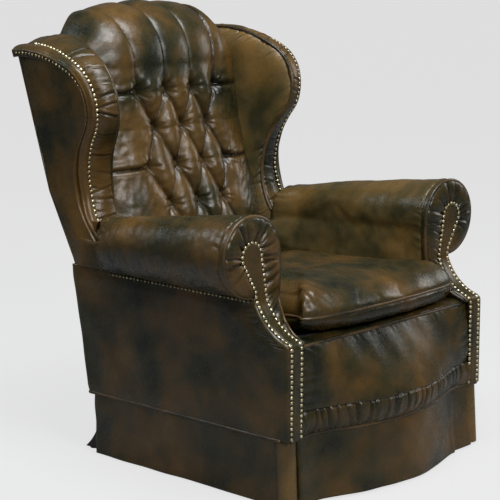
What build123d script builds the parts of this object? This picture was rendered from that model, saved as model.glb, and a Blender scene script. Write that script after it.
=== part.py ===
from build123d import *
from math import atan2, cos, radians, sin, sqrt
import os

# Chesterfield wing chair in millimetres. The chair faces -Y, +X is the right side as seen from the
# front, +Z is up, and the origin is on the floor under the middle of the whole chair.

# Overall places
side_x = 360
knee_y = -408
knee_z = 373
facing_y = -307
skirt_top_z = 157
crease_z = 466
depth_shift = 4

# Sheet, clearance and working lengths
cover = 6
leather = 5
clearance = 0.3
overrun = 500

# Outside back, a flat lower part and a raked upper part
back_foot_y = 228
back_bend_y = 281
back_bend_z = 460
back_corner_y = 447
back_corner_z = 973
back_crown_z = 1062
back_bottom_half = 352
back_bend_half = 353
back_wide_half = 383
back_wide_z = 640

# Beech frame
rail_thickness = 28
rail_height = 138
rail_top_z = skirt_top_z + rail_height
rail_bow = 30
rail_front_y = -385
back_frame_depth = 38
post_width = 30
post_outer_x = 330
post_top_z = 930
arm_post_width = 32
arm_post_depth = 45
arm_post_height = 195
board_thickness = 16
board_inner_x = 330.5
arm_rail_inner_x = 316
arm_rail_width = 30
arm_rail_height = 34
scroll_board_radius = 80
scroll_board_thickness = 24
crest_rail_bottom_z = 846
stretcher_height = 60
stretcher_bottom_z = 300
block_size = 64
block_height = 60
block_drop = 20
rear_leg_foot = 34
rear_leg_kick = 57
front_leg_top = 46
front_leg_foot = 34
front_leg_inset = 6
glide_radius = 12
glide_height = 4

# Arms: a roll that grows towards the front, standing on a wall beside the seat
wall_inner_x = 265
wall_outer_x = 322
wall_bottom_z = 300
wall_bend_z = 440
scroll_x = 360
scroll_radius = 92
roll_rear_x = 356
roll_rear_radius = 62
roll_rear_y = 190
roll_step_y = 203
roll_step_radius = 52
roll_end_y = 212
roll_end_radius = 36
roll_join_deg = 195

# Front face of an arm: upright scroll, concave sweep, knee, then straight down
facing_thickness = 18
facing_drop = 14
sweep_top_z = 462
sweep_mid = (-352, 399)
strip_head = (365, 561)
strip_head_radius = 31
strip_inner_x = 314
strip_outer_x = 347
strip_neck = ((320, 480), (334, 556), (388, 541), (353, 480))
strip_straight_z = 425
ruche_edge = ((268, 530), (270, 487), (275, 450), (285, 415), (295, 385), (300, 368))
knee_clear = 110
piping_radius = 4
piping_embed = 1.5

# Wings: an S-shaped front edge given as (y, z) on an inner and an outer slanting plane
wing_level_z = 606
wing_inner_x = 276
wing_inner_tilt_share = 0.1135
wing_inner_toe_share = 0.263
wing_outer_x = 349
wing_outer_tilt_share = 0.125
wing_inner_edge = ((196, 594), (190, 778), (165, 862), (222, 955), (400, 1003))
wing_outer_edge = ((224, 597), (222, 780), (201, 850), (262, 942), (436, 975))
wing_edge = 12
wing_foot_drop = 40
nail_line_share = 0.64
wing_reach_share = 1.4
wing_crown = 12
wing_crown_share = 0.7
wing_tail_top_z = 575
over_crown = 38
rear_zone_top_z = back_crown_z + over_crown
rear_zone_depth = 100
wing_close_y = 520
piping_in = 4
wing_levels = ((466, 357, 357), (640, 354, 383), (800, 374, 383), (973, 395, 384), (1030, 402, 378))

# Tufted back: depths are measured forward from the back of the frame
pad_half_width = 262
wing_clear_x = pad_half_width + clearance
pad_inner = 40.3
pad_bottom_z = 352
pad_depth_low = 105
pad_depth_row = 124
roll_radius = 129
roll_centre_z = 925
roll_sweep_deg = 107
back_bow = 38
edge_drop = 42
edge_drop_roll = 50
top_row_z = 864
row_pitch = 91.5
column_pitch = 92
button_rows = 5
pinch = 8
pillow = 25
pillow_low = 13
pillow_max_share = 0.38
ridge_lift = 7
side_pillow = 28
side_pleat_share = 0.45
fan_outer = 24
fan_inner = 3
slices_per_row = 4
slices_on_roll = 8
button_radius = 11
button_edge = 3
button_rise = 7
button_well = 9
button_gap = 0.4
button_bore = 70
leg_swell = 2.5

# Seat
webbing_thickness = 2.3
webbing_width = 50
webbing_pitch = 74
seat_webs = 8
back_webs = 8
upright_webs = 7
deck_clear = 0.3
deck_nose_z = 350
deck_nose_y = -391
deck_front_y = -362
deck_front_z = 372
deck_rear_y = 150
deck_rear_z = 346
border_top_y = -395
border_rear_y = -372
border_piping_half = 296
seam_z = 216
seam_line = (-476, (175, -442), (314, -404))
gather_z = 188
gather_proud = 9
band_foot_line = (-460, (205, -418), (314, -404))

# Loose cushion: plan line from the rear, then heights as shares of the crown or the boxing
cushion_rear_y = 126
cushion_half_width = 262
ear_start_y = -350
ear_rear_y = -386
ear_half_width = 293
cushion_corner_y = -402
cushion_front_y = -424
cushion_corner = 10
boxing_height = 42
crown_height = 64
cushion_welt_radius = 3
welt_out_share = 1.008
welt_in_share = 0.985
cushion_shares = ((0, 0.97), (0.3, 1), (0.8, 1), (1, 0.99))
crown_shares = ((0.28, 0.96), (0.58, 0.87), (0.84, 0.7), (1, 0.42))

# Skirt
hem_z = 6
skirt_line = (-460, (205, -418), (344, -410))
hem_line = (-477, (190, -441), (347, -421))
skirt_side_front_y = -388
insert_width = 36
insert_setback = 6
skirt_sway = 8
dust_cover_thickness = 1.5

rail_rear_y = rail_front_y + rail_thickness
rail_outer_x = side_x - cover
facing_rear_y = facing_y + facing_thickness
knee_rear_y = knee_y + facing_thickness
post_inner_x = post_outer_x - post_width
arm_post_rear_y = knee_rear_y + arm_post_depth
board_outer_x = board_inner_x + board_thickness
roll_centre_front_z = crease_z + scroll_radius
roll_centre_rear_z = crease_z + roll_rear_radius
back_rake = atan2(back_corner_y - back_bend_y, back_corner_z - back_bend_z)


def back_y(z):
    """Outer face of the outside back at height z."""
    if z <= back_bend_z:
        share = (z - skirt_top_z) / (back_bend_z - skirt_top_z)
        return back_foot_y + share * (back_bend_y - back_foot_y)
    share = (z - back_bend_z) / (back_corner_z - back_bend_z)
    return back_bend_y + share * (back_corner_y - back_bend_y)


def between(start, end, share):
    """Value a share of the way from start to end."""
    return start + share * (end - start)


def back_strip(low_z, high_z, near, far):
    """Side profile between two depths forward of the frame's back, from low_z to high_z."""
    heights = [low_z, high_z]
    if low_z < back_bend_z < high_z:
        heights = [low_z, back_bend_z, high_z]
    rear = [(back_y(z) - cover - near, z) for z in heights]
    front = [(back_y(z) - cover - far, z) for z in reversed(heights)]
    with BuildSketch(Plane.YZ) as profile:
        Polygon(*rear, *front, align=None)
    return profile.sketch


def cross_piece(profile, reach):
    """A side profile made solid across the chair, reaching the same way left and right."""
    with BuildPart() as piece:
        extrude(profile, amount=reach, both=True)
    return piece.part


def box_part(low, high):
    """A box between two opposite corners."""
    with BuildPart() as piece:
        with Locations(low):
            sides = [end - start for start, end in zip(low, high)]
            Box(*sides, align=(Align.MIN, Align.MIN, Align.MIN))
    return piece.part


def serpentine(line, shift=0):
    """Front line with a bow in the middle and a hollow beside each corner, from left to right."""
    centre_y, shoulder, end = line
    shoulder_x, shoulder_y = shoulder
    bow = ThreePointArc(
        (-shoulder_x, shoulder_y + shift),
        (0, centre_y + shift),
        (shoulder_x, shoulder_y + shift),
    )
    TangentArc(bow @ 0, (-end[0], end[1] + shift), tangent=(bow % 0) * -1)
    TangentArc(bow @ 1, (end[0], end[1] + shift), tangent=bow % 1)


def write(piece, name):
    """Give a finished piece its name and place, and write it out."""
    with BuildPart() as placed:
        with Locations((0, depth_shift, 0)):
            add(piece)
    placed.part.label = name
    export_step(placed.part, f"parts/{name}.step")


def write_pair(right_piece, name):
    """Write a piece of the right side and its mirror image on the left."""
    write(right_piece, "right_" + name)
    with BuildPart() as left_piece:
        mirror(right_piece, about=Plane.YZ)
    write(left_piece.part, "left_" + name)


os.makedirs("parts", exist_ok=True)


# Back posts that run down into raked sabre legs
leg_rear_y = back_foot_y - cover + rear_leg_kick
leg_rake = (back_foot_y - back_bend_y, skirt_top_z - back_bend_z)
with BuildPart() as right_back_post:
    with BuildSketch(Plane.YZ.offset(post_inner_x)):
        with BuildLine():
            rear_knee = (back_foot_y - cover, skirt_top_z)
            front_knee = (rear_knee[0] - back_frame_depth, skirt_top_z)
            rear_foot = (leg_rear_y, glide_height)
            front_foot = (leg_rear_y - rear_leg_foot, glide_height)
            rear_bend = (back_bend_y - cover, back_bend_z)
            front_bend = (rear_bend[0] - back_frame_depth, back_bend_z)
            rear_top = (back_y(post_top_z) - cover, post_top_z)
            front_top = (rear_top[0] - back_frame_depth, post_top_z)
            Line(front_foot, rear_foot)
            TangentArc(rear_foot, rear_knee, tangent=leg_rake, tangent_from_first=False)
            Polyline(rear_knee, rear_bend, rear_top, front_top, front_bend, front_knee)
            TangentArc(front_foot, front_knee, tangent=leg_rake, tangent_from_first=False)
        make_face()
    extrude(amount=post_width)
write_pair(right_back_post.part, "back_post")

# Rails of the seat box
with BuildPart() as front_rail:
    with BuildSketch(Plane.XY.offset(skirt_top_z)):
        with BuildLine():
            rail_end_x = rail_outer_x - arm_post_width
            ThreePointArc((-rail_end_x, rail_front_y), (0, rail_front_y - rail_bow), (rail_end_x, rail_front_y))
            Polyline(
                (rail_end_x, rail_front_y),
                (rail_end_x, rail_rear_y),
                (-rail_end_x, rail_rear_y),
                (-rail_end_x, rail_front_y),
            )
        make_face()
    extrude(amount=rail_height)
write(front_rail.part, "front_rail")

with BuildPart() as right_side_rail:
    with BuildSketch(Plane.YZ.offset(rail_outer_x - rail_thickness)):
        Polygon(
            (arm_post_rear_y, skirt_top_z),
            (back_y(skirt_top_z) - cover, skirt_top_z),
            (back_y(rail_top_z) - cover, rail_top_z),
            (arm_post_rear_y, rail_top_z),
            align=None,
        )
    extrude(amount=rail_thickness)
    add(right_back_post.part, mode=Mode.SUBTRACT)
write_pair(right_side_rail.part, "side_rail")

right_arm_post = box_part(
    (rail_outer_x - arm_post_width, knee_rear_y, skirt_top_z),
    (rail_outer_x, arm_post_rear_y, skirt_top_z + arm_post_height),
)
write_pair(right_arm_post, "arm_post")

back_rail = cross_piece(back_strip(skirt_top_z, rail_top_z, 0, back_frame_depth), post_inner_x)
write(back_rail, "back_rail")
stretcher_top_z = stretcher_bottom_z + stretcher_height
back_stretcher = cross_piece(back_strip(stretcher_bottom_z, stretcher_top_z, 0, back_frame_depth), post_inner_x)
write(back_stretcher, "back_stretcher")

# Crest rail, rounded over the top
roll_centre = (back_y(roll_centre_z) - cover, roll_centre_z)
roll_end_angle = radians(roll_sweep_deg)


def on_roll(radius, angle):
    """Side-view point at a radius from the crest's centre, the angle turning from the front over the top."""
    return (roll_centre[0] - radius * cos(angle), roll_centre[1] + radius * sin(angle))


with BuildPart() as crest_rail:
    with BuildSketch(Plane.YZ):
        with BuildLine():
            crest_end = on_roll(back_frame_depth, roll_end_angle)
            low_rear = (back_y(crest_rail_bottom_z) - cover, crest_rail_bottom_z)
            low_front = (low_rear[0] - back_frame_depth, crest_rail_bottom_z)
            ThreePointArc(
                on_roll(back_frame_depth, 0),
                on_roll(back_frame_depth, roll_end_angle / 2),
                crest_end,
            )
            Polyline(crest_end, roll_centre, low_rear, low_front, on_roll(back_frame_depth, 0))
        make_face()
    extrude(amount=post_inner_x, both=True)
write(crest_rail.part, "crest_rail")

# Scroll board behind the arm's scroll, standing on the side rail, and the arm rail behind it
with BuildPart() as right_scroll_board:
    with BuildSketch(Plane.XZ.offset(-facing_rear_y)):
        with Locations((scroll_x, roll_centre_front_z)):
            Circle(scroll_board_radius)
        Polygon(
            (rail_outer_x - rail_thickness, rail_top_z),
            (rail_outer_x, rail_top_z),
            (rail_outer_x, roll_centre_front_z),
            (rail_outer_x - rail_thickness, roll_centre_front_z),
            align=None,
        )
    extrude(amount=-scroll_board_thickness)
write_pair(right_scroll_board.part, "scroll_board")

arm_rail_top_z = crease_z + arm_rail_height
with BuildPart() as right_arm_rail:
    with BuildSketch(Plane.YZ.offset(arm_rail_inner_x)):
        Polygon(
            (facing_rear_y + scroll_board_thickness, crease_z),
            (back_y(crease_z) - cover - back_frame_depth, crease_z),
            (back_y(arm_rail_top_z) - cover - back_frame_depth, arm_rail_top_z),
            (facing_rear_y + scroll_board_thickness, arm_rail_top_z),
            align=None,
        )
    extrude(amount=arm_rail_width)
write_pair(right_arm_rail.part, "arm_rail")

# Corner blocks glued inside the seat box
block_top_z = rail_top_z - block_drop
with BuildPart() as corner_blocks:
    with BuildSketch(Plane.XY.offset(block_top_z - block_height)):
        block_x = rail_outer_x - rail_thickness
        block_rear_y = back_y(block_top_z) - cover - back_frame_depth
        for side in (1, -1):
            Polygon(
                (side * block_x, rail_rear_y),
                (side * block_x, rail_rear_y + block_size),
                (side * (block_x - block_size), rail_rear_y),
                align=None,
            )
            Polygon(
                (side * block_x, block_rear_y),
                (side * block_x, block_rear_y - block_size),
                (side * (block_x - block_size), block_rear_y),
                align=None,
            )
    extrude(amount=block_height)
    add(right_arm_post, mode=Mode.SUBTRACT)
    mirror(right_arm_post, about=Plane.YZ, mode=Mode.SUBTRACT)
    add(right_back_post.part, mode=Mode.SUBTRACT)
    mirror(right_back_post.part, about=Plane.YZ, mode=Mode.SUBTRACT)
    add(back_rail, mode=Mode.SUBTRACT)
write(corner_blocks.part, "corner_blocks")

# Front legs hidden behind the skirt, and the glides under all four legs
front_leg_x = rail_outer_x - front_leg_inset - front_leg_top / 2
front_leg_y = knee_rear_y + front_leg_top / 2
with BuildPart() as front_legs:
    for side in (1, -1):
        with BuildSketch(Plane.XY.offset(skirt_top_z)):
            with Locations((side * front_leg_x, front_leg_y)):
                Rectangle(front_leg_top, front_leg_top)
        with BuildSketch(Plane.XY.offset(glide_height)):
            with Locations((side * front_leg_x, front_leg_y)):
                Rectangle(front_leg_foot, front_leg_foot)
        loft(ruled=True)
write(front_legs.part, "front_legs")

rear_glide_x = (post_inner_x + post_outer_x) / 2
rear_glide_y = leg_rear_y - rear_leg_foot / 2
with BuildPart() as foot_glides:
    with Locations(
        (front_leg_x, front_leg_y),
        (-front_leg_x, front_leg_y),
        (rear_glide_x, rear_glide_y),
        (-rear_glide_x, rear_glide_y),
    ):
        Cylinder(glide_radius, glide_height, align=(Align.CENTER, Align.CENTER, Align.MIN))
write(foot_glides.part, "foot_glides")

# Webbing of the seat on the rails, and of the back across the posts
with BuildPart() as seat_webbing:
    with BuildSketch(Plane.XY.offset(rail_top_z)):
        web_rear_y = back_y(rail_top_z) - cover - back_frame_depth
        with Locations((0, (rail_front_y + web_rear_y) / 2)):
            with GridLocations(0, webbing_pitch, 1, seat_webs):
                Rectangle(2 * rail_outer_x, webbing_width)
            with GridLocations(webbing_pitch, 0, seat_webs, 1):
                Rectangle(webbing_width, web_rear_y - rail_front_y)
    extrude(amount=webbing_thickness)
    add(right_scroll_board.part, mode=Mode.SUBTRACT)
    mirror(right_scroll_board.part, about=Plane.YZ, mode=Mode.SUBTRACT)
    add(right_arm_post, mode=Mode.SUBTRACT)
    mirror(right_arm_post, about=Plane.YZ, mode=Mode.SUBTRACT)
write(seat_webbing.part, "seat_webbing")

back_web_far = back_frame_depth + webbing_thickness
upright_web = cross_piece(
    back_strip(stretcher_bottom_z, roll_centre_z, back_frame_depth, back_web_far), webbing_width / 2
)
with BuildPart() as back_webbing:
    for step in range(back_webs):
        web_low_z = stretcher_bottom_z + step * webbing_pitch
        add(
            cross_piece(
                back_strip(web_low_z, web_low_z + webbing_width, back_frame_depth, back_web_far), arm_rail_inner_x
            )
        )
    with GridLocations(webbing_pitch, 0, upright_webs, 1):
        add(upright_web)
write(back_webbing.part, "back_webbing")

back_skirt_y = back_foot_y - cover - back_frame_depth - leg_swell - leather
with BuildPart() as dust_cover:
    with BuildSketch(Plane.XY.offset(skirt_top_z)):
        with Locations((0, (rail_front_y + back_skirt_y) / 2)):
            Rectangle(2 * (side_x - 2 * leather), back_skirt_y - rail_front_y)
    extrude(amount=-dust_cover_thickness)
    add(front_legs.part, mode=Mode.SUBTRACT)
    add(right_back_post.part, mode=Mode.SUBTRACT)
    mirror(right_back_post.part, about=Plane.YZ, mode=Mode.SUBTRACT)
write(dust_cover.part, "dust_cover")

# Cord along the top of the skirt, in front and at both sides
def piping(path):
    """A round cord along a path."""
    with BuildPart() as cord:
        with BuildSketch(Plane(origin=path @ 0, z_dir=path % 0)):
            Circle(piping_radius)
        sweep(path=path)
    return cord.part


with BuildPart() as skirt_welt:
    with BuildLine(Plane.XY.offset(skirt_top_z)) as welt_line:
        serpentine(skirt_line)
    add(piping(welt_line.line))
    for side in (1, -1):
        add(
            piping(
                Line((side * side_x, skirt_side_front_y, skirt_top_z), (side * side_x, back_foot_y, skirt_top_z))
            )
        )
write(skirt_welt.part, "skirt_welt")


# Facing of an arm as a thick sheet: the front line and the same line moved back and down
def facing_line(shift_y, shift_z):
    """Front line of an arm in side view, from the scroll's top down to the skirt."""
    high_z = scroll_top_z + shift_z
    sweep_top = (facing_y + shift_y, sweep_top_z + shift_z)
    knee = (knee_y + shift_y, knee_z + shift_z)
    Line((facing_y + shift_y, high_z), sweep_top)
    ThreePointArc(sweep_top, (sweep_mid[0] + shift_y, sweep_mid[1] + shift_z), knee)
    Line(knee, (knee_y + shift_y, skirt_top_z))


scroll_top_z = roll_centre_front_z + scroll_radius + facing_drop
with BuildPart() as before_facing:
    with BuildSketch(Plane.YZ):
        with BuildLine():
            facing_line(facing_thickness, -facing_drop)
            Polyline(
                (facing_rear_y, scroll_top_z - facing_drop),
                (facing_rear_y, scroll_top_z),
                (-overrun, scroll_top_z),
                (-overrun, skirt_top_z),
                (knee_rear_y, skirt_top_z),
            )
        make_face()
    extrude(amount=overrun)

with BuildPart() as facing_sheet:
    with BuildSketch(Plane.YZ):
        with BuildLine():
            facing_line(facing_thickness, -facing_drop)
            Line((facing_rear_y, scroll_top_z - facing_drop), (facing_rear_y, scroll_top_z))
            Line((facing_rear_y, scroll_top_z), (facing_y, scroll_top_z))
            facing_line(0, 0)
            Line((knee_y, skirt_top_z), (knee_rear_y, skirt_top_z))
        make_face()
    extrude(amount=overrun)


def facing_cut(outline):
    """The part of the facing sheet that lies inside an outline drawn as seen from the front."""
    with BuildPart() as piece:
        add(facing_sheet.part)
        with BuildSketch(Plane.XZ):
            add(outline)
        extrude(amount=overrun, mode=Mode.INTERSECT)
    return piece.part


with BuildSketch() as strip_outline:
    with Locations(strip_head):
        Circle(strip_head_radius)
    Polygon(
        (strip_inner_x, skirt_top_z),
        (strip_outer_x, skirt_top_z),
        (strip_outer_x, strip_straight_z),
        strip_neck[3],
        strip_neck[2],
        strip_neck[1],
        strip_neck[0],
        (strip_inner_x, strip_straight_z),
        align=None,
    )
with BuildSketch() as scroll_outline:
    with Locations((scroll_x, roll_centre_front_z)):
        Circle(scroll_radius)
    Polygon(
        *ruche_edge,
        (strip_inner_x, ruche_edge[5][1]),
        (strip_inner_x, roll_centre_front_z),
        (ruche_edge[0][0], roll_centre_front_z),
        align=None,
    )
with BuildSketch() as ruche_outline:
    add(scroll_outline.sketch)
    add(strip_outline.sketch, mode=Mode.SUBTRACT)
with BuildPart() as right_arm_strip:
    add(facing_cut(strip_outline.sketch))
    add(skirt_welt.part, mode=Mode.SUBTRACT)
right_arm_ruche = facing_cut(ruche_outline.sketch)

# Piping round the scroll, let into the edge between the roll and its facing
piping_ring = scroll_radius - piping_embed
with BuildLine(Plane.XZ.offset(-facing_y - piping_radius)) as scroll_edge:
    ring = CenterArc((scroll_x, roll_centre_front_z), piping_ring, -90, 270)
    Line(ring @ 1, (scroll_x - piping_ring, ruche_edge[1][1]))
right_arm_piping = piping(scroll_edge.line)
with BuildPart() as right_ruche_cut:
    add(right_arm_ruche)
    add(right_arm_piping, mode=Mode.SUBTRACT)

# Outside of an arm: a flat panel with a rounded return that meets the facing
with BuildPart() as right_outside_arm:
    with BuildSketch(Plane.YZ.offset(rail_outer_x)):
        Polygon(
            (knee_y, skirt_top_z),
            (knee_y, crease_z),
            (back_y(crease_z), crease_z),
            (back_bend_y, back_bend_z),
            (back_foot_y, skirt_top_z),
            align=None,
        )
    extrude(amount=cover)
    add(before_facing.part, mode=Mode.SUBTRACT)
    with BuildSketch() as return_outline:
        Polygon(
            (strip_outer_x, skirt_top_z),
            (side_x, skirt_top_z),
            (side_x, crease_z),
            (strip_outer_x, crease_z),
            align=None,
        )
    add(facing_cut(return_outline.sketch - strip_outline.sketch))
    add(skirt_welt.part, mode=Mode.SUBTRACT)

# Pad of an arm: sections of wall and roll along the seat, and the wall's run forward to the knee
def arm_section(y, centre_x, centre_z, radius):
    """Cross-section of the padded wall and roll at depth y."""
    join = radians(roll_join_deg)
    mid_join = (join + radians(90)) / 2
    with BuildSketch(Plane.XZ.offset(-y)) as section:
        with BuildLine():

            def rim(angle):
                return (centre_x + radius * cos(angle), centre_z + radius * sin(angle))

            inner = ThreePointArc(rim(join), rim(mid_join), rim(radians(90)))
            upper = ThreePointArc(rim(radians(90)), rim(radians(45)), rim(0))
            lower = ThreePointArc(rim(0), rim(-radians(45)), rim(-radians(90)))
            Polyline(
                lower @ 1,
                (wall_outer_x, crease_z),
                (wall_outer_x, wall_bottom_z),
                (wall_inner_x, wall_bottom_z),
                (wall_inner_x, wall_bend_z),
                inner @ 0,
            )
        make_face()
    return section.sketch


frame_zone = cross_piece(back_strip(skirt_top_z, rear_zone_top_z, 0, back_web_far), overrun)
with BuildPart() as right_arm_pad:
    loft(
        [
            arm_section(facing_rear_y, scroll_x, roll_centre_front_z, scroll_radius),
            arm_section(roll_rear_y, roll_rear_x, roll_centre_rear_z, roll_rear_radius),
            arm_section(roll_step_y, roll_rear_x, roll_centre_rear_z, roll_step_radius),
            arm_section(roll_end_y, roll_rear_x, roll_centre_rear_z, roll_end_radius),
        ],
        ruled=True,
    )
    with BuildSketch(Plane.XZ.offset(-facing_rear_y)):
        Polygon(
            *ruche_edge[1:],
            (ruche_edge[5][0], wall_bottom_z),
            (wall_outer_x, wall_bottom_z),
            (wall_outer_x, ruche_edge[1][1]),
            align=None,
        )
    extrude(amount=knee_clear)
    add(before_facing.part, mode=Mode.SUBTRACT)
    add(right_scroll_board.part, mode=Mode.SUBTRACT)
    add(right_arm_rail.part, mode=Mode.SUBTRACT)
    add(right_arm_piping, mode=Mode.SUBTRACT)
    add(frame_zone, mode=Mode.SUBTRACT)
write_pair(right_arm_strip.part, "arm_strip")
write_pair(right_ruche_cut.part, "arm_ruche")
write_pair(right_arm_piping, "arm_piping")
write_pair(right_outside_arm.part, "outside_arm")
write_pair(right_arm_pad.part, "arm_pad")


# Outside back and the piping that joins it to the crest and the wings
back_line = back_strip(skirt_top_z, rear_zone_top_z, -cover, 0)
with BuildPart() as outside_back:
    extrude(back_line, amount=overrun, both=True)
    with BuildSketch(Plane.XZ):
        with BuildLine():
            ThreePointArc((-back_wide_half, back_corner_z), (0, back_crown_z), (back_wide_half, back_corner_z))
            Polyline(
                (back_wide_half, back_corner_z),
                (back_wide_half, back_wide_z),
                (back_bend_half, back_bend_z),
                (back_bottom_half, skirt_top_z),
                (-back_bottom_half, skirt_top_z),
                (-back_bend_half, back_bend_z),
                (-back_wide_half, back_wide_z),
                (-back_wide_half, back_corner_z),
            )
        make_face()
    extrude(amount=overrun, both=True, mode=Mode.INTERSECT)
corner_cord = (back_wide_half, back_y(back_corner_z) - cover / 2, back_corner_z)
crown_cord = (0, back_y(back_crown_z) - cover / 2, back_crown_z)
with BuildLine() as crest_line:
    ThreePointArc((-corner_cord[0], *corner_cord[1:]), crown_cord, corner_cord)
crest_piping = piping(crest_line.line)
with BuildPart() as outside_back_cut:
    add(outside_back.part)
    add(crest_piping, mode=Mode.SUBTRACT)
write(outside_back_cut.part, "outside_back")
write(crest_piping, "crest_piping")



# Wings: solids drawn between a front line on the inner plane and one on the outer plane
def slant(origin_x, tilt_share, toe_share):
    """Upright plane beside the seat that leans outwards by tilt and turns inwards to the rear by toe."""
    return Plane(
        origin=(origin_x, wing_inner_edge[0][0], wing_level_z),
        x_dir=(-toe_share, 1, 0),
        z_dir=(1, toe_share, -tilt_share),
    )


def seen_at(plane, spot):
    """Point of a slanting plane that is seen at (y, z) from the side."""
    y, z = spot
    lean = (y - plane.origin.Y) * plane.z_dir.Y + (z - plane.origin.Z) * plane.z_dir.Z
    return Vector(plane.origin.X - lean / plane.z_dir.X, y, z)


def wing_line(points):
    """S-shaped front line through foot, neck, belly, turn and end."""
    foot, neck, belly, turn, end = points
    middle = ThreePointArc(neck, belly, turn)
    TangentArc(neck, foot, tangent=(middle % 0) * -1)
    TangentArc(turn, end, tangent=middle % 1)


def wing_face(plane, edge, low_z, set_back):
    """Side face of a wing: the front line, set back, and closed behind the back and below."""
    front = [(y + set_back, z - set_back) for y, z in edge]
    rear_y = wing_close_y + set_back
    closing = [(rear_y, front[4][1]), (rear_y, low_z - set_back), (front[0][0], low_z - set_back)]
    spots = [plane.to_local_coords(seen_at(plane, spot)) for spot in (*front, *closing)]
    places = [(spot.X, spot.Y) for spot in spots]
    with BuildSketch(plane) as face:
        with BuildLine():
            wing_line(places[:5])
            Polyline(*places[4:], places[0])
        make_face()
    return face.sketch


wing_inner_plane = slant(wing_inner_x, wing_inner_tilt_share, wing_inner_toe_share)
wing_outer_plane = slant(wing_outer_x, wing_outer_tilt_share, 0)
wing_far_x = between(wing_inner_x, wing_outer_x, wing_reach_share)
wing_far_plane = slant(wing_far_x, wing_outer_tilt_share, 0)
wing_far_edge = [
    (between(near[0], far[0], wing_reach_share), between(near[1], far[1], wing_reach_share))
    for near, far in zip(wing_inner_edge, wing_outer_edge)
]
wing_low_z = wing_inner_edge[0][1] - wing_foot_drop
behind_back = cross_piece(back_strip(skirt_top_z, rear_zone_top_z, -rear_zone_depth, 0), overrun)
with BuildPart() as wing_core:
    loft(
        [
            wing_face(wing_inner_plane, wing_inner_edge, crease_z, wing_edge),
            wing_face(wing_far_plane, wing_far_edge, crease_z, wing_edge),
        ],
        ruled=True,
    )
with BuildPart() as wing_strip:
    loft(
        [
            wing_face(wing_inner_plane, wing_inner_edge, wing_low_z, 0),
            wing_face(wing_outer_plane, wing_outer_edge, wing_low_z, 0),
        ],
        ruled=True,
    )
    add(wing_core.part, mode=Mode.SUBTRACT)
    add(behind_back, mode=Mode.SUBTRACT)
    add(right_back_post.part, mode=Mode.SUBTRACT)
    add(right_arm_pad.part, mode=Mode.SUBTRACT)
    add(box_part((0, -overrun, 0), (wing_clear_x, overrun, rear_zone_top_z)), mode=Mode.SUBTRACT)
nail_points = [
    seen_at(wing_inner_plane, near) * (1 - nail_line_share) + seen_at(wing_outer_plane, far) * nail_line_share
    for near, far in zip(wing_inner_edge, wing_outer_edge)
]
nail_plane = Plane(
    origin=nail_points[0],
    x_dir=nail_points[2] - nail_points[0],
    z_dir=(nail_points[2] - nail_points[0]).cross(nail_points[4] - nail_points[0]),
)

# Piping along the wing's inner edge
piping_place = [(y + piping_in, z - piping_in) for y, z in wing_inner_edge]
with BuildLine(wing_inner_plane) as wing_cord_line:
    cord_spots = [wing_inner_plane.to_local_coords(seen_at(wing_inner_plane, spot)) for spot in piping_place]
    wing_line([(spot.X, spot.Y) for spot in cord_spots])
right_wing_piping = piping(wing_cord_line.line)

with BuildPart() as right_wing_ruche:
    add(wing_strip.part)
    split(bisect_by=nail_plane, keep=Keep.TOP)
    add(right_wing_piping, mode=Mode.SUBTRACT)
    add(crest_piping, mode=Mode.SUBTRACT)
with BuildPart() as right_wing_band:
    add(wing_strip.part)
    split(bisect_by=nail_plane, keep=Keep.BOTTOM)
    add(crest_piping, mode=Mode.SUBTRACT)

# Wing behind its front strip: pad, board and outside panel, sliced from one solid
with BuildPart() as wing_slab:
    for level in wing_levels:
        level_z, level_front_x, level_rear_x = level
        with BuildSketch(Plane.XY.offset(level_z)):
            Polygon(
                (wing_clear_x, -overrun),
                (level_front_x, -overrun),
                (level_front_x, wing_outer_edge[0][0]),
                (level_rear_x, back_y(level_z) - cover),
                (wing_clear_x, back_y(level_z) - cover),
                align=None,
            )
    loft(ruled=True)
tail = box_part((wing_clear_x, roll_step_y, crease_z), (overrun, overrun, wing_tail_top_z))
with BuildPart() as right_wing_body:
    add(wing_core.part)
    add(tail)
    add(wing_slab.part, mode=Mode.INTERSECT)
    add(wing_strip.part, mode=Mode.SUBTRACT)
    add(right_arm_pad.part, mode=Mode.SUBTRACT)
    add(right_arm_rail.part, mode=Mode.SUBTRACT)
    add(crest_piping, mode=Mode.SUBTRACT)
slice_low = -overrun
slice_high = 2 * overrun + rear_zone_top_z
with BuildPart() as right_wing_board:
    add(right_wing_body.part)
    add(
        box_part((board_inner_x, slice_low, slice_low), (board_outer_x, slice_high, slice_high)),
        mode=Mode.INTERSECT,
    )
with BuildPart() as right_outside_wing:
    add(right_wing_body.part)
    add(
        box_part((board_outer_x, slice_low, slice_low), (slice_high, slice_high, slice_high)),
        mode=Mode.INTERSECT,
    )
    add(right_outside_arm.part, mode=Mode.SUBTRACT)
crown_front = [
    wing_inner_plane.to_local_coords(seen_at(wing_inner_plane, (y + wing_edge + clearance, z - wing_edge)))
    for y, z in wing_inner_edge
]
crown_rear = [
    wing_inner_plane.to_local_coords(seen_at(wing_inner_plane, (back_y(z) - cover - back_web_far, z)))
    for z in (wing_inner_edge[4][1] - wing_edge, wing_inner_edge[0][1] - wing_edge)
]
with BuildPart() as crown:
    with BuildSketch(wing_inner_plane) as crown_foot:
        with BuildLine():
            places = [(spot.X, spot.Y) for spot in (*crown_front, *crown_rear)]
            wing_line(places[:5])
            Polyline(*places[4:], places[0])
        make_face()
    with BuildSketch(wing_inner_plane.offset(-wing_crown)):
        with Locations(Vector(*places[2]) * (1 - wing_crown_share)):
            add(crown_foot.sketch_local.scale(wing_crown_share))
    loft(ruled=True)
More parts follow.
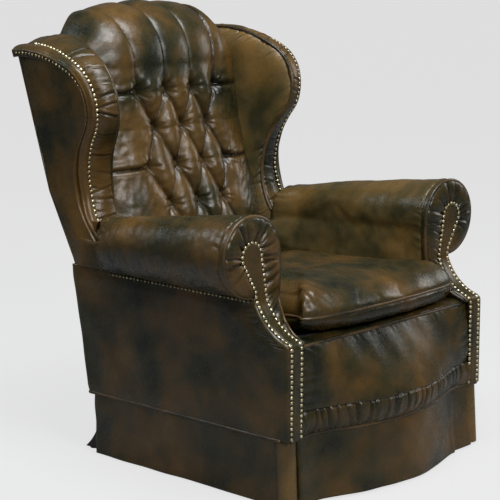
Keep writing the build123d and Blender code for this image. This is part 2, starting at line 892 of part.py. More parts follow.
with BuildPart() as right_wing_pad:
    add(right_wing_body.part)
    add(crown.part)
    add(right_wing_piping, mode=Mode.SUBTRACT)
    add(right_arm_pad.part, mode=Mode.SUBTRACT)
    add(box_part((0, slice_low, slice_low), (board_inner_x, slice_high, slice_high)), mode=Mode.INTERSECT)
    add(frame_zone, mode=Mode.SUBTRACT)
    add(crest_rail.part, mode=Mode.SUBTRACT)
    add(box_part((0, -overrun, 0), (wing_clear_x, overrun, rear_zone_top_z)), mode=Mode.SUBTRACT)
write_pair(right_wing_ruche.part, "wing_ruche")
write_pair(right_wing_band.part, "wing_band")
write_pair(right_wing_piping, "wing_piping")
write_pair(right_wing_board.part, "wing_board")
write_pair(right_outside_wing.part, "outside_wing")
write_pair(right_wing_pad.part, "wing_pad")


# Tufted back: rows of buttons, four and three by turns, below, and flutes over the crest above
def row_height(row):
    """Height of a row of buttons, counted from the top."""
    return top_row_z - row * row_pitch


def seam_depth(z):
    """How far the seams between the pillows lie in front of the frame's back."""
    if z <= row_height(1):
        return pad_depth_low
    if z <= top_row_z:
        return between(pad_depth_low, pad_depth_row, (z - row_height(1)) / row_pitch)
    return between(pad_depth_row, roll_radius, (z - top_row_z) / (roll_centre_z - top_row_z))


def diamond_share(z):
    """0 at a row of four buttons, 1 at a row of three, and 0 beyond the outermost rows."""
    rows_down = (top_row_z - z) / row_pitch
    if rows_down <= 0 or rows_down >= button_rows - 1:
        return 0
    return min(rows_down % 2, 2 - rows_down % 2)


def seam_places(share, fan_share):
    """Places across the chair of the six seams that part the pillows."""
    half = column_pitch / 2
    inner = [half - half * share, half + half * share + fan_inner * fan_share]
    inner = [max(inner[0], pinch / 2), max(inner[1], inner[0] + pinch)]
    outer = half * 3 - half * share + fan_outer * fan_share
    if outer - inner[1] < pinch:
        middle = (outer + inner[1]) / 2
        outer = middle + pinch / 2
        inner[1] = middle - pinch / 2
    if inner[1] - inner[0] < 2 * pinch and share == 0:
        inner = [half - pinch / 2, half + pinch / 2]
    right = [*inner, outer]
    return [-x for x in reversed(right)] + right


def back_slice(plane, depth, drop, share, fan_share, fullness, side_fullness):
    """One slice of the pad: straight against the frame, pillows in front, low at both sides."""
    edge = depth - drop
    lift = ridge_lift * sin(radians(180) * share)
    seams = [(x, depth + lift - back_bow * (x / pad_half_width) ** 2) for x in seam_places(share, fan_share)]
    line = [(-pad_half_width, edge), *seams, (pad_half_width, edge)]
    with BuildSketch(plane) as face:
        with BuildLine():
            for start, end in zip(line, line[1:]):
                width = end[0] - start[0]
                rise = min(fullness * sqrt(width / column_pitch), pillow_max_share * width)
                if abs(start[0]) == pad_half_width or abs(end[0]) == pad_half_width:
                    rise = side_fullness
                ThreePointArc(start, ((start[0] + end[0]) / 2, (start[1] + end[1]) / 2 + rise), end)
            Polyline(line[-1], (pad_half_width, pad_inner), (-pad_half_width, pad_inner), line[0])
        make_face()
    return face.sketch


def horizontal(z):
    """Level slicing plane whose second direction points forward from the frame's back."""
    return Plane(origin=(0, back_y(z) - cover, z), x_dir=(1, 0, 0), z_dir=(0, 0, -1))


slices = []
for level_z in (pad_bottom_z, back_bend_z):
    level_plane = horizontal(level_z)
    slices.append(back_slice(level_plane, pad_depth_low, edge_drop, 0, 0, pillow_low, pillow_low))
for step in range((button_rows - 1) * slices_per_row + 1):
    level_z = row_height(button_rows - 1) + step * row_pitch / slices_per_row
    share = diamond_share(level_z)
    level_plane = horizontal(level_z)
    side_swell = between(side_pillow * side_pleat_share, side_pillow, sin(radians(90) * share))
    slices.append(back_slice(level_plane, seam_depth(level_z), edge_drop, share, 0, pillow, side_swell))
middle_z = (top_row_z + roll_centre_z) / 2
level_plane = horizontal(middle_z)
slices.append(back_slice(level_plane, seam_depth(middle_z), edge_drop, 0, 0, pillow, side_pillow))
for step in range(slices_on_roll + 1):
    turn = roll_end_angle * step / slices_on_roll
    level_plane = Plane(origin=(0, *roll_centre), x_dir=(1, 0, 0), z_dir=(0, -sin(turn), -cos(turn)))
    fan = step / slices_on_roll
    drop = between(edge_drop, edge_drop_roll, fan)
    slices.append(back_slice(level_plane, roll_radius, drop, 0, fan, pillow, side_pillow))

back_normal = (0, -cos(back_rake), sin(back_rake))


def button_places():
    """Middle of every button's seat, where the seams meet."""
    places = []
    for row in range(button_rows):
        z = row_height(row)
        half_count = 3 if row % 2 == 0 else 2
        for step in range(-half_count, half_count + 1, 2):
            x = step * column_pitch / 2
            depth = seam_depth(z) - back_bow * (x / pad_half_width) ** 2
            places.append((x, back_y(z) - cover - depth, z))
    return places


with BuildPart() as tufted_back:
    loft(slices, ruled=True)
    for place in button_places():
        seat_plane = Plane(origin=place, x_dir=(1, 0, 0), z_dir=back_normal).offset(-button_well)
        with Locations(seat_plane):
            Cylinder(
                button_radius + button_gap,
                button_bore,
                align=(Align.CENTER, Align.CENTER, Align.MIN),
                mode=Mode.SUBTRACT,
            )

dome_height = button_rise - button_edge
dome_radius = (button_radius**2 + dome_height**2) / (2 * dome_height)
dome_angle = atan2(button_radius, dome_radius - dome_height)
with BuildPart() as button:
    with BuildSketch(Plane.XZ):
        with BuildLine():
            Polyline((0, button_rise), (0, 0), (button_radius, 0), (button_radius, button_edge))
            ThreePointArc(
                (button_radius, button_edge),
                (dome_radius * sin(dome_angle / 2), button_rise - dome_radius * (1 - cos(dome_angle / 2))),
                (0, button_rise),
            )
        make_face()
    revolve(axis=Axis.Z)
with BuildPart() as back_buttons:
    for place in button_places():
        seat_plane = Plane(origin=place, x_dir=(1, 0, 0), z_dir=back_normal).offset(-button_well)
        with Locations(seat_plane):
            add(button.part)
write(tufted_back.part, "tufted_back")
write(back_buttons.part, "back_buttons")


# Seat deck, swelling to a nose at the front
web_top_z = rail_top_z + webbing_thickness
deck_fall = (deck_front_z - deck_rear_z) / (deck_rear_y - deck_front_y)
deck_far_z = deck_rear_z - deck_fall * (web_rear_y - deck_rear_y)
border_cord_end = (border_piping_half, border_top_y, deck_nose_z)
border_piping = piping(Line((-border_piping_half, border_top_y, deck_nose_z), border_cord_end))
with BuildPart() as seat_deck:
    with BuildSketch(Plane.YZ):
        Polygon(
            (deck_nose_y, deck_nose_z),
            (deck_front_y, deck_front_z),
            (web_rear_y, deck_far_z),
            (web_rear_y, web_top_z),
            (border_rear_y, web_top_z),
            (border_rear_y, deck_nose_z),
            align=None,
        )
    extrude(amount=wall_inner_x - deck_clear, both=True)
    add(border_piping, mode=Mode.SUBTRACT)
    add(back_webbing.part, mode=Mode.SUBTRACT)
write(seat_deck.part, "seat_deck")
write(border_piping, "border_piping")


def front_face(z, line, rear_y, shift=0):
    """Level face from a serpentine front line back to a straight rear line."""
    with BuildSketch(Plane.XY.offset(z)) as face:
        with BuildLine():
            serpentine(line, shift)
            end_x, end_y = line[2]
            Polyline((end_x, end_y + shift), (end_x, rear_y), (-end_x, rear_y), (-end_x, end_y + shift))
        make_face()
    return face.sketch


# Padded border under the front edge of the seat
with BuildPart() as seat_border:
    with BuildSketch(Plane.XY.offset(deck_nose_z)) as border_top:
        with BuildLine():
            end_x = seam_line[2][0]
            shoulder_x = seam_line[1][0]
            Polyline(
                (-end_x, border_top_y),
                (-shoulder_x, border_top_y),
                (shoulder_x, border_top_y),
                (end_x, border_top_y),
                (end_x, border_rear_y),
                (-end_x, border_rear_y),
                (-end_x, border_top_y),
            )
        make_face()
    loft([front_face(seam_z, seam_line, border_rear_y), border_top.sketch], ruled=True)
    add(front_rail.part, mode=Mode.SUBTRACT)
    add(border_piping, mode=Mode.SUBTRACT)
    add(seat_webbing.part, mode=Mode.SUBTRACT)
    add(right_arm_pad.part, mode=Mode.SUBTRACT)
    mirror(right_arm_pad.part, about=Plane.YZ, mode=Mode.SUBTRACT)

# Gathered band and skirt
with BuildPart() as gathered_band:
    loft(
        [
            front_face(skirt_top_z, band_foot_line, rail_front_y),
            front_face(gather_z, seam_line, rail_front_y, -gather_proud),
            front_face(seam_z, seam_line, rail_front_y),
        ],
        ruled=True,
    )
    add(front_rail.part, mode=Mode.SUBTRACT)
    add(skirt_welt.part, mode=Mode.SUBTRACT)
    add(right_arm_strip.part, mode=Mode.SUBTRACT)
    mirror(right_arm_strip.part, about=Plane.YZ, mode=Mode.SUBTRACT)


def front_sheet(z, line):
    """Level slice of the front skirt, one sheet thick."""
    with BuildSketch(Plane.XY.offset(z)) as face:
        with BuildLine():
            serpentine(line)
            serpentine(line, leather)
            end_x, end_y = line[2]
            Line((end_x, end_y), (end_x, end_y + leather))
            Line((-end_x, end_y), (-end_x, end_y + leather))
        make_face()
    return face.sketch


with BuildPart() as front_skirt:
    loft([front_sheet(skirt_top_z, skirt_line), front_sheet(hem_z, hem_line)], ruled=True)
    add(skirt_welt.part, mode=Mode.SUBTRACT)
write(seat_border.part, "seat_border")
write(gathered_band.part, "gathered_band")
write(front_skirt.part, "front_skirt")

with BuildPart() as right_skirt:
    with BuildSketch(Plane.YZ.offset(side_x - leather)):
        Polygon(
            (skirt_side_front_y, skirt_top_z),
            (back_skirt_y, skirt_top_z),
            (back_skirt_y, hem_z),
            (skirt_side_front_y - skirt_sway, hem_z),
            align=None,
        )
    extrude(amount=leather)
    add(skirt_welt.part, mode=Mode.SUBTRACT)
    add(front_skirt.part, mode=Mode.SUBTRACT)
write_pair(right_skirt.part, "skirt")

with BuildPart() as back_skirt:
    with BuildSketch(Plane.YZ):
        Polygon(
            (back_skirt_y, hem_z),
            (back_skirt_y + leather, hem_z),
            (back_skirt_y + leather, skirt_top_z),
            (back_skirt_y, skirt_top_z),
            align=None,
        )
    extrude(amount=side_x - 2 * leather, both=True)
write(back_skirt.part, "back_skirt")

# Recessed inserts behind the slit pleats at the four corners
insert_x = side_x - leather
insert_front_y = skirt_line[2][1] + leather + insert_setback
with BuildPart() as skirt_inserts:
    with BuildSketch(Plane.XY.offset(hem_z)):
        for side in (1, -1):
            Polygon(
                (side * insert_x, insert_front_y),
                (side * insert_x, insert_front_y + insert_width),
                (side * (insert_x - leather), insert_front_y + insert_width),
                (side * (insert_x - leather), insert_front_y + leather),
                (side * (insert_x - insert_width), insert_front_y + leather),
                (side * (insert_x - insert_width), insert_front_y),
                align=None,
            )
            Polygon(
                (side * insert_x, back_skirt_y),
                (side * insert_x, back_skirt_y - insert_width),
                (side * (insert_x - leather), back_skirt_y - insert_width),
                (side * (insert_x - leather), back_skirt_y),
                align=None,
            )
    extrude(amount=skirt_top_z - hem_z)
    add(front_skirt.part, mode=Mode.SUBTRACT)
    add(front_legs.part, mode=Mode.SUBTRACT)
    add(dust_cover.part, mode=Mode.SUBTRACT)
    add(back_skirt.part, mode=Mode.SUBTRACT)
write(skirt_inserts.part, "skirt_inserts")

# Loose cushion lying on the deck
deck_lean = atan2(deck_front_z - deck_rear_z, deck_rear_y - deck_front_y)
cushion_plane = Plane(
    origin=(0, deck_front_y, deck_front_z + clearance),
    x_dir=(1, 0, 0),
    z_dir=(0, sin(deck_lean), cos(deck_lean)),
)


def cushion_slice(height, share):
    """Plan of the cushion at a height above the deck, drawn in about its middle."""
    centre_y = (cushion_rear_y + cushion_front_y) / 2
    corner_front = cushion_corner_y + cushion_corner
    half = [
        (cushion_half_width - cushion_corner, cushion_rear_y),
        (cushion_half_width, cushion_rear_y - cushion_corner),
        (cushion_half_width, ear_start_y),
        (ear_half_width - cushion_corner, ear_rear_y),
        (ear_half_width, ear_rear_y - cushion_corner / 2),
        (ear_half_width, corner_front - cushion_corner),
        (ear_half_width - cushion_corner, cushion_corner_y),
    ]
    half = [(x * share, centre_y + (y - centre_y) * share - deck_front_y) for x, y in half]
    front = (0, centre_y + (cushion_front_y - centre_y) * share - deck_front_y)
    left = [(-x, y) for x, y in reversed(half)]
    with BuildSketch(cushion_plane.offset(height)) as face:
        with BuildLine():
            ThreePointArc(left[0], front, half[-1])
            Polyline(*reversed(half), *reversed(left))
        make_face()
    return face.sketch


cushion_slices = [(boxing_height * up, share) for up, share in cushion_shares]
cushion_slices += [(boxing_height + crown_height * up, share) for up, share in crown_shares]
with BuildPart() as cushion_welt:
    extrude(
        cushion_slice(boxing_height - cushion_welt_radius, welt_out_share)
        - cushion_slice(boxing_height - cushion_welt_radius, welt_in_share),
        amount=2 * cushion_welt_radius,
    )
with BuildPart() as seat_cushion:
    loft([cushion_slice(height, share) for height, share in cushion_slices], ruled=True)
    add(cushion_welt.part, mode=Mode.SUBTRACT)
write(cushion_welt.part, "cushion_welt")
write(seat_cushion.part, "seat_cushion")
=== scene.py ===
from math import atan2, cos, pi, radians, sin

import bmesh
import bpy
import numpy as np
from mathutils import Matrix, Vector
from mathutils.bvhtree import BVHTree


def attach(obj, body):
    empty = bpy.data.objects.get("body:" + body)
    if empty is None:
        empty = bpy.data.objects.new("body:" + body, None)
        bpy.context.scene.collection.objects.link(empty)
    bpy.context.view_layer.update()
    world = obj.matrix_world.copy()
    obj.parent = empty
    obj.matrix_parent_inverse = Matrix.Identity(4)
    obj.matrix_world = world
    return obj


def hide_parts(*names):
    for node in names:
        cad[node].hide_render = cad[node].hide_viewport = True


# A chesterfield wing chair in antiqued brown leather: deep-buttoned and fluted back, close-nailed
# wings and scroll arms, a loose cushion and a bow-fronted gathered skirt.

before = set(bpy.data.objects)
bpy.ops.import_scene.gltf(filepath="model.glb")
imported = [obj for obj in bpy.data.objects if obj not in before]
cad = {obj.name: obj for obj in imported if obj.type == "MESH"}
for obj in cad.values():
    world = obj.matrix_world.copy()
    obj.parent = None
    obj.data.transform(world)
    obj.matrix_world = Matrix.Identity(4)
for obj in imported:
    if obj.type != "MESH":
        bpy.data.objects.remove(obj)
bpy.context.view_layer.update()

# Sizes in millimetres, as in the frame
depth_shift = 4
facing_y = -307
knee_y = -408
knee_z = 373
facing_depth = 18
sweep_top_z = 462
sweep_middle = (-352, 399)
crease_z = 466
skirt_top_z = 157.0
hem_z = 6
side_x = 360.0
border_half = 314
back_bend_z = 460
crest_z = 973
crest_half = 383
cover = 6
sheet_leather = 3.2
nail_pitch = 0.0118
nail_dome = 0.62

strip_head = (365, 561)
strip_head_radius = 31
strip_edges = {
    "inner": ((157, 314), (425, 314), (480, 320), (556, 334)),
    "outer": ((157, 347), (425, 347), (480, 353), (541, 388)),
}
scroll_middle = (360, 558)
scroll_radius = 92
piping_radius = 90.5
ruche_edge = ((268, 530), (270, 487), (275, 450), (285, 415), (295, 385), (300, 368))

wing_inner_edge = ((197, 534), (190, 778), (165, 862), (222, 955), (440, 1003))
wing_outer_edge = ((201, 534), (222, 780), (201, 850), (262, 942), (450, 974))
wing_levels = ((466, 360.5, 359.5), (640, 354, 383), (800, 374, 383), (973, 395, 384), (1030, 402, 378))
nail_line_share = 0.70

back_half = 262
top_row_z = 864
row_pitch = 91.5
half_column = 46
roll_radius = 129
roll_centre_z = 925
roll_sweep = radians(107)
back_bow = 38

seam_line = (-476, (175, -442), (314, -404))
band_foot_line = (-460, (205, -418), (314, -404))
skirt_line = (-460, (205, -418), (344, -410))
hem_line = (-477, (190, -441), (347, -421))


def between(start, end, share):
    """Value a share of the way from start to end."""
    return start + (end - start) * share


def smooth(value):
    """Soft step from 0 to 1."""
    value = np.clip(value, 0, 1)
    return value * value * (3 - 2 * value)


def back_y(z):
    """Outer face of the outside back at height z, bent at the arm's crease."""
    z = np.asarray(z, float)
    low = 228 + (z - skirt_top_z) / (back_bend_z - skirt_top_z) * 53
    high = 281 + (z - back_bend_z) / (crest_z - back_bend_z) * 166
    return np.where(z <= back_bend_z, low, high)


def bell(value, width):
    """Soft hump that is 1 where the value is 0."""
    return np.exp(-((value / width) ** 2))


def in_folds(fold, depth=3.0):
    """0 on open leather to 1 at the bottom of a fold."""
    return np.clip(-fold / depth, 0, 1)


def ruled(first, last, shares):
    """Grid of points on the straight lines between two edges."""
    return first[:, None] + (last - first)[:, None] * shares[None, :, None]


def widths(first, last, shares):
    """Distance from the first edge at each point of such a grid."""
    return np.linalg.norm(last - first, axis=1)[:, None] * shares[None]


def spread(values, shares):
    """One value for each row of a grid, repeated along its columns."""
    return np.repeat(values[:, None], len(shares), 1)


# Curves
def arc(start, middle, end, count):
    """Points of the circle from start through middle to end."""
    (ax, ay), (bx, by), (cx, cy) = start, middle, end
    turn = 2 * (ax * (by - cy) + bx * (cy - ay) + cx * (ay - by))
    square_a, square_b, square_c = ax * ax + ay * ay, bx * bx + by * by, cx * cx + cy * cy
    x = (square_a * (by - cy) + square_b * (cy - ay) + square_c * (ay - by)) / turn
    y = (square_a * (cx - bx) + square_b * (ax - cx) + square_c * (bx - ax)) / turn
    radius = np.hypot(ax - x, ay - y)
    angles = np.unwrap([atan2(ay - y, ax - x), atan2(by - y, bx - x), atan2(cy - y, cx - x)])
    sweep = np.linspace(angles[0], angles[2], count)
    return np.stack([x + radius * np.cos(sweep), y + radius * np.sin(sweep)], 1)


def arc_on(start, end, heading, count):
    """Points of the circle that leaves start along a heading and reaches end."""
    start, end = np.array(start, float), np.array(end, float)
    heading = np.array(heading, float) / np.hypot(*heading)
    side = np.array([-heading[1], heading[0]])
    gap = end - start
    radius = (gap @ gap) / (2 * (gap @ side))
    middle = start + side * radius
    turned = 2 * atan2(gap @ side, gap @ heading)
    first = atan2(*(start - middle)[::-1])
    sweep = first + np.linspace(0, turned, count)
    return middle + abs(radius) * np.stack([np.cos(sweep), np.sin(sweep)], 1)


def serpentine(line, count=60):
    """Front line with a bow in the middle and a hollow beside each corner, from left to right."""
    centre_y, (shoulder_x, shoulder_y), end = line
    bow = arc((-shoulder_x, shoulder_y), (0, centre_y), (shoulder_x, shoulder_y), 4 * count)
    right = arc_on(bow[-1], end, bow[-1] - bow[-2], count)
    left = right[::-1] * [-1, 1]
    return np.concatenate([left[:-1], bow, right[1:]])


def line_y(line, x):
    """Depth of a serpentine front line at each x."""
    points = serpentine(line)
    return np.interp(x, points[:, 0], points[:, 1])


def evenly(points, count):
    """The same path with evenly spaced points."""
    points = np.asarray(points, float)
    steps = np.linalg.norm(np.diff(points, axis=0), axis=1)
    run = np.concatenate([[0], np.cumsum(steps)])
    places = np.linspace(0, run[-1], count)
    return np.stack([np.interp(places, run, points[:, axis]) for axis in range(points.shape[1])], 1)


def run_along(points):
    """Distance along a path at each of its points."""
    steps = np.linalg.norm(np.diff(np.asarray(points, float), axis=0), axis=1)
    return np.concatenate([[0], np.cumsum(steps)])


# Leather surface: soft lumps, gathers and pleats
def lumps(points, size, seed, count=18):
    """Soft random swells of about unit height whose humps are size apart."""
    chance = np.random.default_rng(seed)
    ways = chance.normal(size=(count, 3))
    ways /= np.linalg.norm(ways, axis=1, keepdims=True)
    rates = 2 * pi / size * chance.uniform(0.55, 1.45, count)
    starts = chance.uniform(0, 2 * pi, count)
    total = np.zeros(points.shape[:-1])
    for way, rate, begin in zip(ways, rates, starts):
        total += np.sin(points @ way * rate + begin)
    return total / np.sqrt(count)


def gathers(along, across, pitch, depth, width, reach, seed,
            slant=0.0, first=None, last=None, set_lean=0.0):
    """Narrow valleys running in from the seam at across 0, each with its own place and length."""
    chance = np.random.default_rng(seed)
    first = along.min() if first is None else first
    last = along.max() if last is None else last
    places = np.arange(first + pitch * 0.5, last, pitch)
    total = np.zeros(along.shape)
    for place in places:
        place = place + pitch * chance.uniform(-0.38, 0.38)
        own_reach = reach * chance.uniform(0.55, 1.25)
        own_depth = depth * chance.uniform(0.45, 1.15)
        own_width = width * chance.uniform(0.7, 1.4)
        lean = set_lean + slant * chance.uniform(-1, 1)
        off = along - place - lean * across
        fade = smooth(1 - across / own_reach)
        total -= own_depth * bell(off, own_width) * fade
        total += 0.4 * own_depth * bell(off - 2 * own_width, 1.5 * own_width) * fade
    return total


def turned_edge(gap, radius):
    """How far a padded surface falls back within a radius of its edge."""
    gap = np.clip(gap, 0, radius)
    return -(radius - np.sqrt(radius**2 - (radius - gap) ** 2))


# Meshes
def to_metres(points):
    """Millimetres of the chair's drawing to metres of the frame."""
    return (np.asarray(points, float) + [0, depth_shift, 0]) * 0.001


def new_object(name, data):
    """An object with this data, placed in the scene."""
    thing = bpy.data.objects.new(name, data)
    bpy.context.scene.collection.objects.link(thing)
    return thing


def smooth_faces(mesh):
    """Shade every face smoothly."""
    mesh.polygons.foreach_set("use_smooth", [True] * len(mesh.polygons))


def finished_mesh(thing):
    """Plain mesh of an object with its modifiers worked in."""
    worked = thing.evaluated_get(bpy.context.evaluated_depsgraph_get())
    return bpy.data.meshes.new_from_object(worked)


def make_piece(name, points, faces, crease_shade=None):
    """A smooth closed mesh, with the painted shade of its creases kept on its points."""
    mesh = bpy.data.meshes.new(name)
    mesh.from_pydata(to_metres(points).tolist(), [], faces)
    worked = bmesh.new()
    worked.from_mesh(mesh)
    bmesh.ops.recalc_face_normals(worked, faces=worked.faces)
    worked.to_mesh(mesh)
    worked.free()
    paint_crease_shade(mesh, crease_shade)
    smooth_faces(mesh)
    return new_object(name, mesh)


def paint_crease_shade(mesh, crease_shade):
    """Keep the painted shade of creases on each point: 0 for open leather to 1 for the bottom of a
    crease.
    """
    values = np.zeros(len(mesh.vertices), np.float32)
    if crease_shade is not None:
        flat = np.asarray(crease_shade, np.float32).ravel()
        values[: len(flat)] = np.clip(flat, 0, 1)
    layer = mesh.attributes.get("crease_shade") or mesh.attributes.new("crease_shade", "FLOAT", "POINT")
    layer.data.foreach_set("value", values)


def grid_faces(rows, columns, first=0):
    """Quads of a grid of points counted row by row."""
    index = first + np.arange(rows * columns).reshape(rows, columns)
    quads = np.stack([index[:-1, :-1], index[:-1, 1:], index[1:, 1:], index[1:, :-1]], -1)
    return quads.reshape(-1, 4).tolist()


def pad_piece(name, front, rear_first, rear_last, crease_shade=None):
    """Padded skin: a fine front, and a plain rear between the lines behind its end columns."""
    rows, columns = front.shape[:2]
    faces = grid_faces(rows, columns)
    near = rows * columns
    far = near + rows
    for row in range(rows - 1):
        left, left_next = row * columns, (row + 1) * columns
        right, right_next = left + columns - 1, left_next + columns - 1
        faces.append([left_next, near + row + 1, near + row, left])
        faces.append([right, far + row, far + row + 1, right_next])
        faces.append([near + row, near + row + 1, far + row + 1, far + row])
    faces.append([*range(columns), far, near][::-1])
    faces.append([*range((rows - 1) * columns, rows * columns), far + rows - 1, near + rows - 1])
    points = np.concatenate([front.reshape(-1, 3), rear_first, rear_last])
    return make_piece(name, points, faces, crease_shade)


def sheet_piece(name, front, rear, crease_shade=None):
    """Thin sheet of leather from its outer and inner faces."""
    rows, columns = front.shape[:2]
    count = rows * columns
    faces = grid_faces(rows, columns) + [face[::-1] for face in grid_faces(rows, columns, count)]
    rim = [*range(columns), *range(2 * columns - 1, count, columns)]
    rim += [*range(count - 2, count - columns - 1, -1), *range(count - 2 * columns, 0, -columns)]
    for start, end in zip(rim, rim[1:] + rim[:1]):
        faces.append([end, start, start + count, end + count])
    points = np.concatenate([front.reshape(-1, 3), rear.reshape(-1, 3)])
    both = None if crease_shade is None else np.concatenate([np.ravel(crease_shade), np.ravel(crease_shade)])
    return make_piece(name, points, faces, both)


def ring_faces(low, high, sides):
    """Quads between two rings of points, given the first point of each."""
    after = [(step + 1) % sides for step in range(sides)]
    return [[low + step, low + turn, high + turn, high + step] for step, turn in enumerate(after)]


def cord_piece(name, path, radius, sides=12, closed=False):
    """Round sewn-in cord along a path, with domed ends."""
    path = np.asarray(path, float)
    ahead = np.gradient(path, axis=0)
    if closed:
        ahead = np.roll(path, -1, 0) - np.roll(path, 1, 0)
    ahead /= np.linalg.norm(ahead, axis=1, keepdims=True)
    side = np.cross(ahead[0], [0.3, 0.2, 1.0])
    sides_out = []
    for way in ahead:
        side = side - way * (side @ way)
        side /= np.linalg.norm(side)
        sides_out.append(side)
    side = np.array(sides_out)
    other = np.cross(ahead, side)
    round_angles = np.linspace(0, 2 * pi, sides, endpoint=False)
    ring = side[:, None] * np.cos(round_angles)[None, :, None]
    ring = ring + other[:, None] * np.sin(round_angles)[None, :, None]
    rounds = [path[:, None] + ring * radius]
    if not closed:
        start = path[0] - ahead[0] * radius * 0.6 + ring[0] * radius * 0.6
        end = path[-1] + ahead[-1] * radius * 0.6 + ring[-1] * radius * 0.6
        rounds = [start[None], *rounds, end[None]]
    points = np.concatenate(rounds)
    count = len(points)
    faces = []
    for row in range(count if closed else count - 1):
        faces += ring_faces(row * sides, (row + 1) % count * sides, sides)
    if not closed:
        faces.append([*range(sides)][::-1])
        faces.append([*range((count - 1) * sides, count * sides)])
    return make_piece(name, points.reshape(-1, 3), faces)


def as_is(points):
    """The right side's points as drawn."""
    return np.asarray(points, float)


def mirrored(points):
    """The same points on the left side."""
    return np.asarray(points, float) * [-1, 1, 1]


turns = {"right": as_is, "left": mirrored}


def stuffed(name, node, voxel, passes):
    """The frame's solid of a padded piece, remeshed finely and rounded off."""
    mesh = cad[node].data.copy()
    worked = bmesh.new()
    worked.from_mesh(mesh)
    bmesh.ops.remove_doubles(worked, verts=worked.verts, dist=0.0001)
    worked.to_mesh(mesh)
    worked.free()
    rough = new_object(name + "_rough", mesh)
    remesh = rough.modifiers.new("remesh", "REMESH")
    remesh.mode = "VOXEL"
    remesh.voxel_size = voxel
    shape = finished_mesh(rough)
    bpy.data.objects.remove(rough)
    shape.name = name
    shape.materials.clear()
    piece = new_object(name, shape)
    relax(piece, passes)
    smooth_faces(shape)
    return piece


def points_of(piece):
    """Points of a piece in the drawing's millimetres."""
    places = np.zeros(len(piece.data.vertices) * 3, np.float32)
    piece.data.vertices.foreach_get("co", places)
    return places.reshape(-1, 3).astype(float) * 1000 - [0, depth_shift, 0]


def place_points(piece, points):
    """Move a piece's points to these places in the drawing."""
    piece.data.vertices.foreach_set("co", to_metres(points).astype(np.float32).ravel())
    piece.data.update()


def outward(piece):
    """Direction out of the surface at each point."""
    ways = np.zeros(len(piece.data.vertices) * 3, np.float32)
    piece.data.vertices.foreach_get("normal", ways)
    return ways.reshape(-1, 3).astype(float)


def relax(piece, passes, where=1.0, shares=(0.6, -0.55)):
    """Round a mesh off, or a part of it, without shrinking it much."""
    edges = np.zeros(len(piece.data.edges) * 2, np.int64)
    piece.data.edges.foreach_get("vertices", edges)
    edges = edges.reshape(-1, 2)
    points = points_of(piece)
    count = len(points)
    neighbours = np.bincount(edges.ravel(), minlength=count)[:, None]
    for _ in range(passes):
        for share in shares:
            total = np.zeros_like(points)
            for axis in range(3):
                total[:, axis] = np.bincount(edges[:, 0], points[edges[:, 1], axis], count)
                total[:, axis] += np.bincount(edges[:, 1], points[edges[:, 0], axis], count)
            points = points + share * where * (total / neighbours - points)
    place_points(piece, points)


# Materials
def new_material(name):
    """An empty node material with its surface shader."""
    material = bpy.data.materials.new(name)
    material.use_nodes = True
    nodes = material.node_tree.nodes
    return material, nodes, material.node_tree.links, nodes["Principled BSDF"]


def set_inputs(node, values):
    """Set a node's own sockets."""
    for name, value in values.items():
        node.inputs[name].default_value = value


def noise(nodes, links, place, scale, detail, roughness=0.5, distortion=0.0):
    """A noise texture on the given coordinates."""
    texture = nodes.new("ShaderNodeTexNoise")
    set_inputs(texture, {"Scale": scale, "Detail": detail})
    set_inputs(texture, {"Roughness": roughness, "Distortion": distortion})
    links.new(place, texture.inputs["Vector"])
    return texture


def ramp(nodes, links, value, stops):
    """Colours by a value, as (place, (r, g, b)) stops."""
    colours = nodes.new("ShaderNodeValToRGB")
    elements = colours.color_ramp.elements
    while len(elements) < len(stops):
        elements.new(0.5)
    for element, (place, colour) in zip(elements, stops):
        element.position = place
        element.color = (*colour, 1)
    links.new(value, colours.inputs["Fac"])
    return colours


def mix_colour(nodes, links, share, first, second, way="MIX"):
    """Two colours blended by a share."""
    mix = nodes.new("ShaderNodeMix")
    mix.data_type = "RGBA"
    mix.blend_type = way
    for name, value in (("Factor", share), ("A", first), ("B", second)):
        socket = mix.inputs[name]
        if hasattr(value, "is_linked"):
            links.new(value, socket)
        elif isinstance(value, tuple):
            socket.default_value = (*value, 1)
        else:
            socket.default_value = value
    return mix.outputs["Result"]


def sum_of(nodes, links, way, first, second):
    """One sum on values or numbers."""
    maths = nodes.new("ShaderNodeMath")
    maths.operation = way
    for socket, value in ((maths.inputs[0], first), (maths.inputs[1], second)):
        if hasattr(value, "is_linked"):
            links.new(value, socket)
        else:
            socket.default_value = value
    return maths.outputs["Value"]


def object_place(nodes, links, offset=(0, 0, 0), stretch=(1, 1, 1)):
    """Object coordinates, shifted and stretched."""
    place = nodes.new("ShaderNodeTexCoord")
    mapping = nodes.new("ShaderNodeMapping")
    mapping.inputs["Location"].default_value = offset
    mapping.inputs["Scale"].default_value = stretch
    links.new(place.outputs["Object"], mapping.inputs["Vector"])
    return mapping.outputs["Vector"]


def relief(nodes, links, height, strength, distance, under=None):
    """Normals raised by a height, over those of a finer relief where there is one."""
    bump = nodes.new("ShaderNodeBump")
    set_inputs(bump, {"Strength": strength, "Distance": distance})
    links.new(height, bump.inputs["Height"])
    if under is not None:
        links.new(under, bump.inputs["Normal"])
    return bump.outputs["Normal"]


